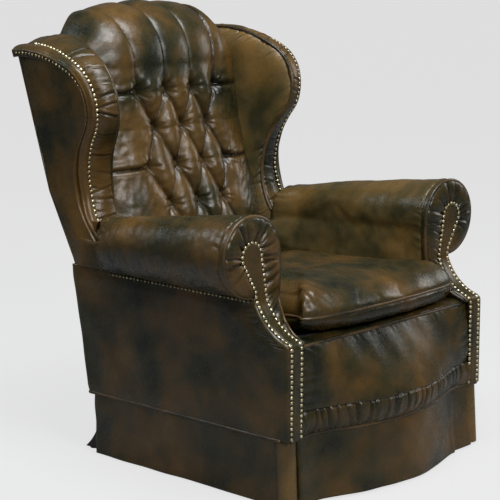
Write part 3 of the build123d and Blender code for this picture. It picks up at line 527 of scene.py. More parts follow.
def antiqued_leather_and_crease_shade(name, dark, mid, brown, tan, gloss=0.27, offset=(0, 0, 0)):
    """Hand-antiqued hide: dark patches over brown, tan showing through, fine pebbled grain, with
    painted shade darkening it in creases.
    """
    material, nodes, links, shader = new_material(name)
    place = object_place(nodes, links, offset)
    patches = noise(nodes, links, place, 6.5, 3, 0.5, 0.3)
    spots = noise(nodes, links, place, 24, 5, 0.6, 0.2)
    blend = sum_of(nodes, links, "MULTIPLY_ADD", spots.outputs["Fac"], 0.3)
    blend.node.inputs[2].default_value = -0.15
    level = sum_of(nodes, links, "ADD", patches.outputs["Fac"], blend)
    hide = ramp(nodes, links, level, ((0.31, dark), (0.44, mid), (0.57, brown), (0.74, tan)))
    # Painted shade: the crease value on each point darkens the colour toward near black in folds, seams
    # and shaded hollows
    crease_shade = nodes.new("ShaderNodeAttribute")
    crease_shade.attribute_name = "crease_shade"
    depth = sum_of(nodes, links, "MULTIPLY", crease_shade.outputs["Fac"], 0.85)
    colour = mix_colour(nodes, links, depth, hide.outputs["Color"], tuple(part * 0.22 for part in dark))
    links.new(colour, shader.inputs["Base Color"])

    grain = nodes.new("ShaderNodeTexVoronoi")
    grain.feature = "DISTANCE_TO_EDGE"
    set_inputs(grain, {"Scale": 420, "Randomness": 1})
    wander = noise(nodes, links, place, 60, 3)
    moved = mix_colour(nodes, links, 0.012, place, wander.outputs["Color"], "ADD")
    links.new(moved, grain.inputs["Vector"])
    pebble = ramp(nodes, links, grain.outputs["Distance"], ((0.0, (0, 0, 0)), (0.22, (1, 1, 1))))
    fine = noise(nodes, links, place, 160, 4, 0.6)
    shiny, dull = (gloss - 0.06,) * 3, (gloss + 0.12,) * 3
    rough = ramp(nodes, links, fine.outputs["Fac"], ((0.3, shiny), (0.7, dull)))
    links.new(rough.outputs["Color"], shader.inputs["Roughness"])
    pebbles = relief(nodes, links, pebble.outputs["Color"], 0.16, 0.0006)
    hollows = noise(nodes, links, place, 75, 5, 0.55).outputs["Fac"]
    links.new(relief(nodes, links, hollows, 0.22, 0.002, pebbles), shader.inputs["Normal"])
    set_inputs(shader, {"Specular IOR Level": 0.36, "Coat Weight": 0.08, "Coat Roughness": 0.16})
    return material


def worn_brass(name, dark, bright):
    """Antique brass nail heads, dulled in patches."""
    material, nodes, links, shader = new_material(name)
    place = object_place(nodes, links)
    tarnish = noise(nodes, links, place, 130, 3)
    metal = ramp(nodes, links, tarnish.outputs["Fac"], ((0.35, dark), (0.6, bright)))
    links.new(metal.outputs["Color"], shader.inputs["Base Color"])
    shader.inputs["Metallic"].default_value = 1
    dull = ramp(nodes, links, tarnish.outputs["Fac"], ((0.35, (0.42,) * 3), (0.65, (0.24,) * 3)))
    links.new(dull.outputs["Color"], shader.inputs["Roughness"])
    return material


def straight_grain(name, dark, light, gloss, along=(18, 18, 1.6)):
    """Wood whose grain runs along the piece."""
    material, nodes, links, shader = new_material(name)
    place = object_place(nodes, links, (0.3, 0.1, 0), along)
    grain = noise(nodes, links, place, 3.2, 8, 0.62, 0.6)
    pores = noise(nodes, links, place, 22, 4, 0.7)
    tint = ramp(nodes, links, grain.outputs["Fac"], ((0.34, dark), (0.66, light)))
    shade = ramp(nodes, links, pores.outputs["Fac"], ((0.36, (0.72, 0.72, 0.72)), (0.52, (1, 1, 1))))
    colour = mix_colour(nodes, links, 1.0, tint.outputs["Color"], shade.outputs["Color"], "MULTIPLY")
    links.new(colour, shader.inputs["Base Color"])
    rough = ramp(nodes, links, grain.outputs["Fac"], ((0.3, (gloss,) * 3), (0.7, (gloss + 0.12,) * 3)))
    links.new(rough.outputs["Color"], shader.inputs["Roughness"])
    links.new(relief(nodes, links, pores.outputs["Fac"], 0.2, 0.001), shader.inputs["Normal"])
    return material


def woven_cloth(name, warp, weft, threads=520):
    """Plain woven cloth with a thread texture."""
    material, nodes, links, shader = new_material(name)
    place = object_place(nodes, links)
    checks = nodes.new("ShaderNodeTexChecker")
    checks.inputs["Scale"].default_value = threads
    links.new(place, checks.inputs["Vector"])
    slubs = noise(nodes, links, place, 90, 4)
    mixed = mix_colour(nodes, links, checks.outputs["Fac"], warp, weft)
    worn = ramp(nodes, links, slubs.outputs["Fac"], ((0.3, (0.75, 0.75, 0.75)), (0.7, (1, 1, 1))))
    colour = mix_colour(nodes, links, 1.0, mixed, worn.outputs["Color"], "MULTIPLY")
    links.new(colour, shader.inputs["Base Color"])
    shader.inputs["Roughness"].default_value = 0.85
    links.new(relief(nodes, links, checks.outputs["Fac"], 0.3, 0.0008), shader.inputs["Normal"])
    return material


def dull_glide(name):
    """Dull moulded glide under a leg."""
    material, nodes, links, shader = new_material(name)
    scuffs = noise(nodes, links, object_place(nodes, links), 220, 3)
    dark, worn = (0.012, 0.010, 0.008), (0.03, 0.026, 0.02)
    tone = ramp(nodes, links, scuffs.outputs["Fac"], ((0.3, dark), (0.7, worn)))
    links.new(tone.outputs["Color"], shader.inputs["Base Color"])
    shader.inputs["Roughness"].default_value = 0.55
    return material


hide = antiqued_leather_and_crease_shade(
    "antiqued_leather_and_crease_shade",
    (0.0092, 0.0105, 0.0046), (0.031, 0.0246, 0.0076), (0.072, 0.0405, 0.0098), (0.124, 0.066, 0.0165),
)
cord_hide = antiqued_leather_and_crease_shade(
    "cord_leather",
    (0.012, 0.012, 0.007), (0.036, 0.027, 0.012), (0.074, 0.044, 0.016), (0.115, 0.066, 0.026),
    0.25, (0.4, 0.2, 0.1),
)
pleat_hide = antiqued_leather_and_crease_shade(
    "pleat_leather",
    (0.060, 0.040, 0.0125), (0.098, 0.060, 0.0165), (0.135, 0.079, 0.0215), (0.165, 0.094, 0.027),
)
# Lit copy of the leather for the insides of the arm and the wing at +X: its paler colours paint the
# light these faces catch, chosen for their tone in the photo
lit_copy_hide = antiqued_leather_and_crease_shade(
    "lit_copy_leather",
    (0.026, 0.0236, 0.0088), (0.066, 0.047, 0.0150), (0.112, 0.067, 0.0185), (0.158, 0.092, 0.026),
)
pad_hides = {"right": lit_copy_hide, "left": hide}
brass = worn_brass("antique_brass", (0.42, 0.34, 0.17), (0.80, 0.73, 0.50))
# Shaded copy of the brass: its darker colours paint the shade on the nails along the wings' outer edges
# and under the arm rolls
shaded_brass = worn_brass("shaded_copy_brass", (0.16, 0.13, 0.07), (0.42, 0.37, 0.23))
beech = straight_grain("raw_beech", (0.30, 0.18, 0.09), (0.48, 0.32, 0.18), 0.6)
leg_wood = straight_grain("stained_leg_wood", (0.010, 0.005, 0.003), (0.035, 0.016, 0.009), 0.3)
webbing_cloth = woven_cloth("jute_webbing", (0.30, 0.22, 0.12), (0.22, 0.16, 0.09), 380)
lining_cloth = woven_cloth("dark_lining", (0.012, 0.011, 0.010), (0.02, 0.018, 0.016))
glide_finish = dull_glide("glide_finish")


def dress(piece, body, replaced, material=None):
    """Give a finished piece its leather, its body and the solids it stands for."""
    piece.data.materials.clear()
    piece.data.materials.append(material or hide)
    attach(piece, body)
    if replaced:
        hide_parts(*replaced)
    return piece


def side_pad(side, name, front, first, last, crease_shade, material=None):
    """Padded piece of one side in the place of the frame's own."""
    turn = turns[side]
    piece = pad_piece(f"{side}_{name}_leather", turn(front), turn(first), turn(last), crease_shade)
    return dress(piece, "chair", [f"{side}_{name}"], material)


def sewn_cord(name, path, radius, node):
    """Covered cord of a seam in the place of the frame's own."""
    return dress(cord_piece(name, path, radius), "chair", [node], cord_hide)


# Deep-buttoned back, fluted over the crest
def seam_depth(z):
    """How far the seams between the pillows lie in front of the frame's back."""
    low = between(105, 124, (z - (top_row_z - row_pitch)) / row_pitch)
    high = between(124, roll_radius + 13, (z - top_row_z) / (roll_centre_z - top_row_z))
    return np.where(z <= top_row_z - row_pitch, 105, np.where(z <= top_row_z, low, high))


def button_places():
    """Middle of each button's seat: x and height."""
    places = []
    for row in range(5):
        outermost = 3 if row % 2 == 0 else 2
        for step in range(-outermost, outermost + 1, 2):
            places.append((step * half_column, top_row_z - row * row_pitch))
    return places


def buttoned_height(x, z, turned):
    """Height of the pillows over the seams, the painted shade of their creases, and their fall to the
    sides.
    """
    rows_up = (z - top_row_z) / row_pitch
    fan = turned / roll_sweep
    zigzag = (rows_up + 100) % 2
    zigzag = np.minimum(zigzag, 2 - zigzag)
    buttoned = (rows_up <= 0) & (rows_up >= -4)
    to_pillow = np.where(buttoned, zigzag, 0)
    inner = half_column + 3 * fan
    outer = 3 * half_column - half_column * to_pillow + 24 * fan
    wide = np.abs(x)

    # Diamonds between the buttons
    rising = np.abs(np.cos(pi / 2 * (x / half_column + rows_up)))
    falling = np.abs(np.cos(pi / 2 * (x / half_column - rows_up)))
    diamond = (rising * falling) ** 0.55

    # Flutes above the top row and the short ones below the last row
    middle_flute = np.abs(np.cos(pi / 2 * np.clip(wide / inner, 0, 1)))
    next_share = np.clip((wide - inner) / (outer - inner), 0, 1)
    next_flute = np.sin(pi * next_share)
    flute = np.where(wide < inner, middle_flute, next_flute)
    flute = flute ** between(1.0, 0.42, smooth(np.maximum(rows_up, -4 - rows_up) / 0.5))
    inside = np.where(buttoned, diamond, flute)

    # Wide panels at the sides
    out = np.clip((wide - outer) / (back_half + 6 - outer), 0, 1)
    panel = (4 * out * (1 - 0.86 * out)) ** 0.62 / 1.08
    swell = between(0.62, 1.0, np.sin(pi / 2 * to_pillow))
    swell = np.where(rows_up > 0, between(0.62, 0.9, smooth(rows_up / 0.6)), swell)
    side_height = between(29, 15, smooth(rows_up / 0.7)) * panel * swell
    rise = between(25, 12, smooth(rows_up / 0.7))
    inner_height = rise * inside + np.where(buttoned, 6 * np.sin(pi * to_pillow) * 0.5, 0)
    height = np.where(wide < outer, inner_height, side_height)
    # Painted shade in the seams between the pillows and at the side panels' edges, and below in the
    # pleats
    crease_shade = np.where(wide < outer, bell(inside, 0.20), bell(out, 0.035))

    # Pleats that run out to the sides from the outer buttons of the wide rows
    for row in (0, 2, 4):
        level = top_row_z - row * row_pitch - 0.06 * (wide - 138)
        off = z - level
        reach = smooth((wide - 130) / 14) * between(1, 0.6, out)
        height = height - 10 * bell(off, 3.4) * reach
        height = height + 5 * bell(off - 13, 9) * reach
        height = height + 2.5 * bell(off + 12, 9) * reach
        crease_shade = np.maximum(crease_shade, 0.9 * bell(off, 3.0) * reach)
    edge_fall = between(42, 84, smooth(fan * 1.4))
    past_outer = np.clip((wide - outer) / (back_half - outer), 0, 2)
    fall = np.where(wide > outer, edge_fall * past_outer**1.5, 0)
    fall = fall + back_bow * (x / back_half) ** 2 * np.where(wide > outer, 0.55, 1)
    return height, crease_shade, fall


def make_tufted_back():
    """Pillows, flutes and side panels of the back as one skin."""
    heights = np.concatenate([np.linspace(352, 440, 14)[:-1], np.linspace(440, roll_centre_z, 212)])
    turns = np.linspace(0, roll_sweep, 112)[1:]
    z = np.concatenate([heights, np.full(len(turns), roll_centre_z)])
    turned = np.concatenate([np.zeros(len(heights)), turns])
    above = np.concatenate([heights, roll_centre_z + turns * roll_radius])
    across = np.linspace(-back_half - 8, back_half + 8, 237)
    x, flat_z = np.meshgrid(across, z)
    angle, run = spread(turned, across), spread(above, across)
    height, crease_shade, fall = buttoned_height(x, run, angle)
    place = np.stack([x, run, np.zeros_like(x)], -1)
    chance = np.random.default_rng(12)
    for spot_x, spot_z in button_places():
        away = np.hypot(x - spot_x, run - spot_z)
        around = np.arctan2(run - spot_z, x - spot_x)
        height = height - 11 * np.exp(-((away / 15.5) ** 2.5))
        upright = 0.45 + 0.55 * np.abs(np.sin(around))
        pucker = np.cos(9 * around + chance.uniform(0, 6))
        pucker = pucker + 0.6 * np.cos(14 * around + chance.uniform(0, 6))
        height = height + 1.25 * pucker * upright * bell(away - 21, 11)
        # Painted shade in each button's pit and in the valleys of its puckers
        crease_shade = np.maximum(crease_shade, 0.9 * np.exp(-((away / 13) ** 4)))
        dark = np.clip(-pucker, 0, 1) * upright * bell(away - 20, 9)
        crease_shade = np.maximum(crease_shade, 0.45 * dark)
    fluted = smooth((run - top_row_z - 10) / 60)
    height = height + (1.2 * lumps(place, 70, 3) + 0.45 * lumps(place, 22, 4)) * (1 - 0.7 * fluted)
    height = height + 0.7 * lumps(place * [1.6, 0.35, 1], 80, 5) * fluted
    depth = seam_depth(np.minimum(flat_z, roll_centre_z)) + height - fall
    rear_y = back_y(flat_z) - cover
    y = rear_y - depth * np.cos(angle)
    z_out = flat_z + depth * np.sin(angle)
    front = np.stack([x, y, z_out], -1)
    rear_depth = 40.3
    rear_line_y = back_y(z) - cover - rear_depth * np.cos(turned)
    rear_line = np.stack([np.zeros(len(z)), rear_line_y, z + rear_depth * np.sin(turned)], -1)
    first = rear_line + [across[0], 0, 0]
    last = rear_line + [across[-1], 0, 0]
    piece = pad_piece("tufted_back_leather", front, first, last, crease_shade)
    return dress(piece, "chair", ["tufted_back"])


def make_buttons():
    """Covered buttons pulled into the back, each tilted with it."""
    tilt = atan2(166, 513)
    ahead = np.array([0, -cos(tilt), sin(tilt)])
    up = np.array([0, sin(tilt), cos(tilt)])
    side = np.array([1.0, 0, 0])
    profile = [(0.001, 7.2), (3.5, 6.9), (6.6, 5.9), (9.0, 4.3), (10.6, 2.2), (11.0, 0.4)]
    profile += [(9.5, -2.5), (0.001, -3.5)]
    sides = 26
    chance = np.random.default_rng(5)
    points, faces, crease_shade = [], [], []
    for x, z in button_places():
        depth = float(seam_depth(np.array(z))) - back_bow * (x / back_half) ** 2
        seat = np.array([x, float(back_y(z)) - cover - depth, z]) - ahead * 9
        lean = chance.uniform(-0.06, 0.06, 2)
        axis = ahead + lean[0] * side + lean[1] * up
        axis /= np.linalg.norm(axis)
        first = len(points)
        for ring_radius, ring_height in profile:
            for step in range(sides):
                angle = 2 * pi * step / sides
                spot = seat + axis * ring_height + ring_radius * (cos(angle) * side + sin(angle) * up)
                points.append(spot)
                # Painted shade on the lower rings of each button, where it sits in its pit
                crease_shade.append(0.55 if ring_height < 2.5 else 0.0)
        for ring in range(len(profile) - 1):
            faces += ring_faces(first + ring * sides, first + (ring + 1) * sides, sides)
        faces.append([first + step for step in range(sides)][::-1])
        faces.append([first + (len(profile) - 1) * sides + step for step in range(sides)])
    piece = make_piece("covered_buttons", np.array(points), faces, crease_shade)
    return dress(piece, "chair", ["back_buttons"])


make_tufted_back()
make_buttons()


# Wings
class Slope:
    """Upright plane that leans outwards and toes in, as the frame's wings do."""

    def __init__(self, origin_x, lean, toe):
        self.origin = np.array([origin_x, 196.0, 606.0])
        self.along = np.array([-toe, 1.0, 0])
        self.along /= np.linalg.norm(self.along)
        self.out = np.array([1.0, toe, -lean])
        self.out /= np.linalg.norm(self.out)
        self.up = np.cross(self.out, self.along)

    def seen_at(self, y, z):
        """Point of the plane at (y, z) in side view."""
        away = (y - self.origin[1]) * self.out[1] + (z - self.origin[2]) * self.out[2]
        return np.array([self.origin[0] - away / self.out[0], y, z])

    def wing_line(self, edge, shift=0.0, count=40):
        """S-shaped front line of a wing: foot, neck, belly, turn and end."""
        spots = [self.seen_at(y + shift, z - shift) - self.origin for y, z in edge]
        foot, neck, belly, turn, end = [(spot @ self.along, spot @ self.up) for spot in spots]
        middle = arc(neck, belly, turn, 2 * count)
        low = arc_on(middle[0], foot, middle[0] - middle[1], count)[::-1]
        high = arc_on(middle[-1], end, middle[-1] - middle[-2], count)
        flat = np.concatenate([low[:-1], middle, high[1:]])
        return self.origin + flat[:, :1] * self.along + flat[:, 1:] * self.up


inner_slope = Slope(276, 0.1135, 0.263)
outer_slope = Slope(349, 0.125, 0)


def wing_frames(inner, outer):
    """Unit directions across and out of the wing's front strip."""
    across = outer - inner
    across /= np.linalg.norm(across, axis=1, keepdims=True)
    along = np.gradient((inner + outer) / 2, axis=0)
    along /= np.linalg.norm(along, axis=1, keepdims=True)
    out = np.cross(across, along)
    out /= np.linalg.norm(out, axis=1, keepdims=True)
    front = np.mean(out @ np.array([0, -1.0, 0.2]))
    return across, out if front > 0 else -out


wing_rows = 230
wing_seeds = {"right": 40, "left": 60}


def make_wing_ruche(side, inner, nails, out, places):
    """Gathered strip between the piping and the nails."""
    seed = wing_seeds[side]
    shares = np.linspace(0, 1, 26)
    gap_in = widths(inner, nails, shares)
    gap_out = gap_in[:, -1:] - gap_in
    run = spread(places, shares)
    belly = 0.65 + 0.5 * bell(places / places[-1] - 0.5, 0.2)[:, None]
    fold = gathers(run, gap_in, 36, 4.4, 2.6, 120, seed, 0.3) * belly
    fold += gathers(run, gap_out, 27, 2.8, 2.2, 34, seed + 1, 0.4) * belly
    edge = turned_edge(gap_in + 1.5, 9) + 0.55 * turned_edge(gap_out + 1.2, 7)
    surface = 6.5 * np.sin(pi * shares)[None] + edge + fold
    base = ruled(inner, nails, shares)
    surface = surface + 0.7 * lumps(base, 45, seed + 2)
    front = base + out[:, None] * surface[..., None]
    # Painted shade in the gathers and along both edges of the ruche
    crease_shade = in_folds(fold, 3.2) * 0.75 + bell(gap_out, 2.2) * 0.6 + bell(gap_in, 2) * 0.5
    side_pad(side, "wing_ruche", front, inner - out * 13, nails - out * 13, crease_shade)


def make_wing_band(side, nails, outer, across, out):
    """Plain rolled band outside the nails, turned round onto the outside of the wing."""
    seed = wing_seeds[side]
    bend = np.linspace(0, pi / 2, 9)
    flat_shares = np.linspace(0, 1, 9)
    base = ruled(nails, outer, flat_shares)
    gap = widths(nails, outer, flat_shares)
    crown = 5.5 * np.sin(pi * np.minimum(flat_shares * 0.8 + 0.2, 1)) ** 0.8
    height = crown + turned_edge(gap + 1.2, 6) * 0.7
    roll = 5.0
    drawn_in = across[:, None] * (roll * flat_shares**2)[None, :, None]
    face = base + out[:, None] * height[..., None] - drawn_in
    corner = (
        face[:, -1][:, None]
        + across[:, None] * (roll * np.sin(bend[1:]))[None, :, None]
        - out[:, None] * (roll * (1 - np.cos(bend[1:])))[None, :, None]
    )
    tail = corner[:, -1:] - out[:, None] * np.linspace(2, 14, 6)[None, :, None]
    front = np.concatenate([face, corner, tail], 1)
    front = front + out[:, None] * (0.5 * lumps(front, 50, seed + 5))[..., None]
    # Painted shade along the band's edge at the nail line
    seen = np.zeros(front.shape[:2])
    seen[:, :2] = 0.55
    side_pad(side, "wing_band", front, nails - out * 14, outer - across * 4 - out * 16, seen)


def make_wing_cord(side):
    """Piping on the inner edge of a wing."""
    cord = evenly(inner_slope.wing_line(wing_inner_edge, 4), 240)
    sewn_cord(f"{side}_wing_cord", turns[side](cord), 4.3, f"{side}_wing_piping")


def make_wing_pad(side):
    """Crowned inner pad of a wing."""
    seed = wing_seeds[side]
    tail = [inner_slope.seen_at(201.0, level) for level in np.linspace(450, 540, 10)]
    edge_line = evenly(np.concatenate([tail, inner_slope.wing_line(wing_inner_edge, 5)]), wing_rows)
    rear_z = np.linspace(444, 985, wing_rows)
    rear = np.array([inner_slope.seen_at(float(back_y(level)) - 46, level) for level in rear_z])
    shares = np.linspace(0, 1, 64) ** 1.15
    base, gap = ruled(edge_line, rear, shares), widths(edge_line, rear, shares)
    pad_run = run_along(edge_line)
    up = pad_run / pad_run[-1]
    top_gap = (pad_run[-1] - pad_run)[:, None]
    run = spread(pad_run, shares)
    crown = 13.5 * (1 - np.exp(-((gap / 17) ** 1.1))) * between(1, 0.62, smooth(gap / 170))
    crown = crown * between(0.35, 1, smooth(top_gap / 90))
    neck = 0.35 + 0.9 * bell(up - 0.27, 0.09) + 0.7 * smooth((up - 0.68) / 0.18)
    fold = gathers(run, gap, 26, 3.0, 3.4, 60, seed + 8, 0.5) * neck[:, None]
    surface = crown + fold + 1.4 * lumps(base, 95, seed + 9)
    front = base - inner_slope.out * surface[..., None]
    # Painted shade in the gathers and along the pad's front edge
    crease_shade = in_folds(fold) * 0.6 + bell(gap, 2.4) * 0.7
    depth = between(48, 16, smooth((edge_line[:, 2] - 570) / 40))[:, None]
    first, last = edge_line + inner_slope.out * depth, rear + inner_slope.out * 16
    side_pad(side, "wing_pad", front, first, last, crease_shade, pad_hides[side])


def make_outside_wing(side, outer, out):
    """Outside panel of a wing."""
    seed = wing_seeds[side]
    start = np.array([[0, 112, 466.0], [0, 142, 500.0], [0, 172, 522.0]])
    behind = outer - out * 7
    front_line = evenly(np.concatenate([start * [0, 1, 1], behind * [0, 1, 1]]), wing_rows)
    rear_z = np.linspace(crease_z, crest_z, 40)
    rear_line = evenly(np.stack([np.zeros(40), back_y(rear_z) - 4, rear_z], 1), wing_rows)
    shares = np.linspace(0, 1, 60)
    flat = ruled(front_line, rear_line, shares)
    y, z = flat[..., 1], flat[..., 2]
    levels = np.array(wing_levels, float)
    near_x = np.interp(z, levels[:, 0], levels[:, 1])
    far_x = np.interp(z, levels[:, 0], levels[:, 2])
    toward = np.clip((y - 224) / (back_y(z) - cover - 224), 0, 1)
    panel_x = between(near_x, far_x, toward)
    gap = widths(front_line, rear_line, shares)
    gap_rear = gap[:, -1:] - gap
    puff = 4.5 * smooth(gap / 60) * smooth(gap_rear / 45)
    run = spread(np.linspace(0, 1, wing_rows), shares) * 520
    fold = gathers(run, gap_rear, 60, 1.2, 7, 60, seed + 14, 0.3)
    panel_x = panel_x + puff + fold + 1.1 * lumps(flat, 120, seed + 15) + turned_edge(gap_rear + 2, 9)
    front = np.stack([panel_x, y, z], -1)
    first, last = front[:, 0] - [14, 0, 0], front[:, -1] - [14, 0, 0]
    side_pad(side, "outside_wing", front, first, last, None)


def make_wing(side, turn):
    """All pieces of one wing, then its front and side nail rows with their directions."""
    inner = inner_slope.wing_line(wing_inner_edge)
    outer = outer_slope.wing_line(wing_outer_edge)
    outer[:, 0] += 9.5 * smooth((645 - outer[:, 2]) / 70)
    order = run_along((inner + outer) / 2)
    places = np.linspace(0, order[-1], wing_rows)
    inner = np.stack([np.interp(places, order, inner[:, axis]) for axis in range(3)], 1)
    outer = np.stack([np.interp(places, order, outer[:, axis]) for axis in range(3)], 1)
    across, out = wing_frames(inner, outer)
    nails = between(inner, outer, nail_line_share)
    make_wing_ruche(side, inner, nails, out, places)
    make_wing_band(side, nails, outer, across, out)
    make_wing_cord(side)
    make_wing_pad(side)
    make_outside_wing(side, outer, out)
    return turn(nails + out * 3.2), turn(out), turn(outer + across * 1.5 - out * 9), turn(across)


nail_rows, edge_rows = [], []
for side, turn in turns.items():
    front_row, front_way, side_row, side_way = make_wing(side, turn)
    nail_rows.append((front_row[8:-16], front_way[8:-16]))
    edge_rows.append((side_row[84:-6], side_way[84:-6]))
    under_roll = np.stack([np.full(60, 362.5), np.linspace(-296, 150, 60), np.full(60, 459.0)], 1)
    edge_rows.append((turn(under_roll), turn(np.tile([1.0, 0, 0.1], (60, 1)))))


# Arms
def facing_path():
    """Front line of an arm from the scroll's top over sweep and knee to the skirt, rounded."""
    sweep = arc((facing_y, sweep_top_z), sweep_middle, (knee_y, knee_z), 80)
    line = evenly(np.concatenate([[[facing_y, 668]], sweep, [[knee_y, 150]]]), 560)
    weights = np.exp(-0.5 * (np.arange(-18, 19) / 6.5) ** 2)
    weights /= weights.sum()
    padded = np.concatenate([np.repeat(line[:1], 18, 0), line, np.repeat(line[-1:], 18, 0)])
    return np.stack([np.convolve(padded[:, axis], weights, "valid") for axis in range(2)], 1)


facing_points = facing_path()
facing_slopes = np.gradient(facing_points, axis=0)
facing_slopes /= np.linalg.norm(facing_slopes, axis=1, keepdims=True)


def on_facing(x, z, height=0.0):
    """Point of an arm's front face at (x, z) seen from the front, raised by a height."""
    level = facing_points[::-1, 1]
    y = np.interp(z, level, facing_points[::-1, 0])
    out_y = np.interp(z, level, facing_slopes[::-1, 1])
    out_z = np.interp(z, level, -facing_slopes[::-1, 0])
    return np.stack([x, y + out_y * height, z + out_z * height], -1)


def round_points(middle, radius, degrees):
    """Points of a circle at some angles, seen from the front."""
    angles = np.radians(degrees)
    return np.stack([middle[0] + radius * np.cos(angles), middle[1] + radius * np.sin(angles)], 1)


def strip_edge(which, z):
    """Edge of the plain strip at height z, round the head above the neck."""
    line = np.array(strip_edges[which], float)
    x = np.interp(z, line[:, 0], line[:, 1])
    chord = np.sqrt(np.clip(strip_head_radius**2 - (z - strip_head[1]) ** 2, 0, None))
    on_head = strip_head[0] + chord * (1 if which == "outer" else -1)
    return np.where(z > line[-1, 0], on_head, x)


def lined(start, end, count):
    """Points of a straight run seen from the front, without its last one."""
    return np.linspace(start, end, count + 1)[:-1]


def ruche_lines():
    """Inner line of the ruche round the strip, and its outer line round the scroll and down."""
    inner = np.concatenate(
        [
            lined((353, 480), (388, 541), 14),
            round_points(strip_head, strip_head_radius, np.linspace(-41, 189, 91))[:-1],
            lined((334, 556), (320, 480), 22),
            lined((320, 480), (314, 425), 16),
            np.linspace((314, 425), (314, 366), 18),
        ]
    )
    rim = np.concatenate([lined(-90, -32, 14), lined(-32, 186, 90)])
    scroll = round_points(scroll_middle, scroll_radius, rim)
    levels = np.concatenate([lined(548, 484, 22), lined(484, 430, 16), np.linspace(430, 366, 18)])
    edge = np.array(((268, 549), *ruche_edge))
    down = np.stack([np.interp(levels, edge[::-1, 1], edge[::-1, 0]), levels], 1)
    return inner, np.concatenate([scroll, down])


arm_seeds = {"right": 100, "left": 130}


def make_arm_strip(side):
    """Plain nailed strip of an arm's front: head, neck and straight run."""
    seed = arm_seeds[side]
    rise = strip_head_radius * np.sin(np.radians(np.linspace(1, 89.5, 34)))
    z = np.concatenate([np.linspace(159, 560, 240), strip_head[1] + rise])
    low, high = strip_edge("inner", z), strip_edge("outer", z)
    shares = np.linspace(0, 1, 17)
    x = low[:, None] + (high - low)[:, None] * shares[None]
    levels = spread(z, shares)
    gap = np.minimum(x - low[:, None], high[:, None] - x)
    height = 2.2 + 2.0 * smooth(gap / 9) + turned_edge(gap + 1.0, 3.5)
    height += 0.5 * lumps(np.stack([x, levels * 0.6, 0 * x], -1), 30, seed)
    front = on_facing(x, levels, height)
    back = on_facing(x, levels, -13.0)
    # Painted shade along both edges of the strip
    seen = bell(gap, 1.8) * 0.6
    side_pad(side, "arm_strip", front, back[:, 0], back[:, -1], seen)


def make_arm_ruche(side):
    """Gathered ruche round the strip."""
    seed = arm_seeds[side]
    inner, outer = ruche_lines()
    run = run_along(inner)
    shares = np.linspace(0, 1, 30)
    flat = ruled(inner, outer, shares)
    width = np.linalg.norm(outer - inner, axis=1)[:, None]
    gap_in = width * shares[None]
    gap_out = width - gap_in
    along = spread(run, shares)
    head_first, head_last = run[12], run[108]
    fold = gathers(along, gap_in, 11.5, 6.6, 2.2, 88, seed + 1, 0.03, head_first, head_last)
    fold += gathers(along, gap_in, 17, 5.6, 3.2, 72, seed + 2, 0.12, head_last, run[-1], -0.45)
    fold += gathers(along, gap_out, 13, 2.2, 1.7, 26, seed + 3, 0.04, head_first, head_last)
    bulge = 7.0 * np.sin(pi * shares)[None] ** 0.8 * np.clip(width / 45, 0.45, 1)
    height = bulge + 0.6 * turned_edge(gap_in + 0.8, 7) + turned_edge(gap_out + 1.0, 9) + fold
    place = np.stack([flat[..., 0], flat[..., 1], 0 * flat[..., 0]], -1)
    height += 0.6 * lumps(place, 40, seed + 4)
    face = on_facing(flat[..., 0], flat[..., 1], height)
    over = np.linspace(-9.5, -15, 4)
    turned = np.stack([on_facing(outer[:, 0], outer[:, 1], level) for level in over], 1)
    front = np.concatenate([face, turned], 1)
    rear_in = on_facing(inner[:, 0], inner[:, 1], -15.0)
    rear_out = on_facing(outer[:, 0], outer[:, 1], -16.5)
    # Painted shade in the gathers and along both edges of the ruche
    seen = in_folds(fold) * 0.8 + bell(gap_in, 2.2) * 0.6 + bell(gap_out, 2) * 0.4
    seen = np.concatenate([seen, np.zeros(turned.shape[:2])], 1)
    side_pad(side, "arm_ruche", front, rear_in, rear_out, seen)


def make_arm_cord(side):
    """Piping round the scroll."""
    ring = round_points(scroll_middle, piping_radius, np.linspace(-90, 180, 120))
    edge = np.array(((scroll_middle[0] - piping_radius, 550), *ruche_edge))
    low_z = np.linspace(550, 374, 60)[1:]
    low = np.stack([np.interp(low_z, edge[::-1, 1], edge[::-1, 0]), low_z], 1)
    path = np.concatenate([ring, low])
    path = on_facing(path[:, 0], path[:, 1], -4.0)
    sewn_cord(f"{side}_arm_cord", turns[side](path), 4.4, f"{side}_arm_piping")


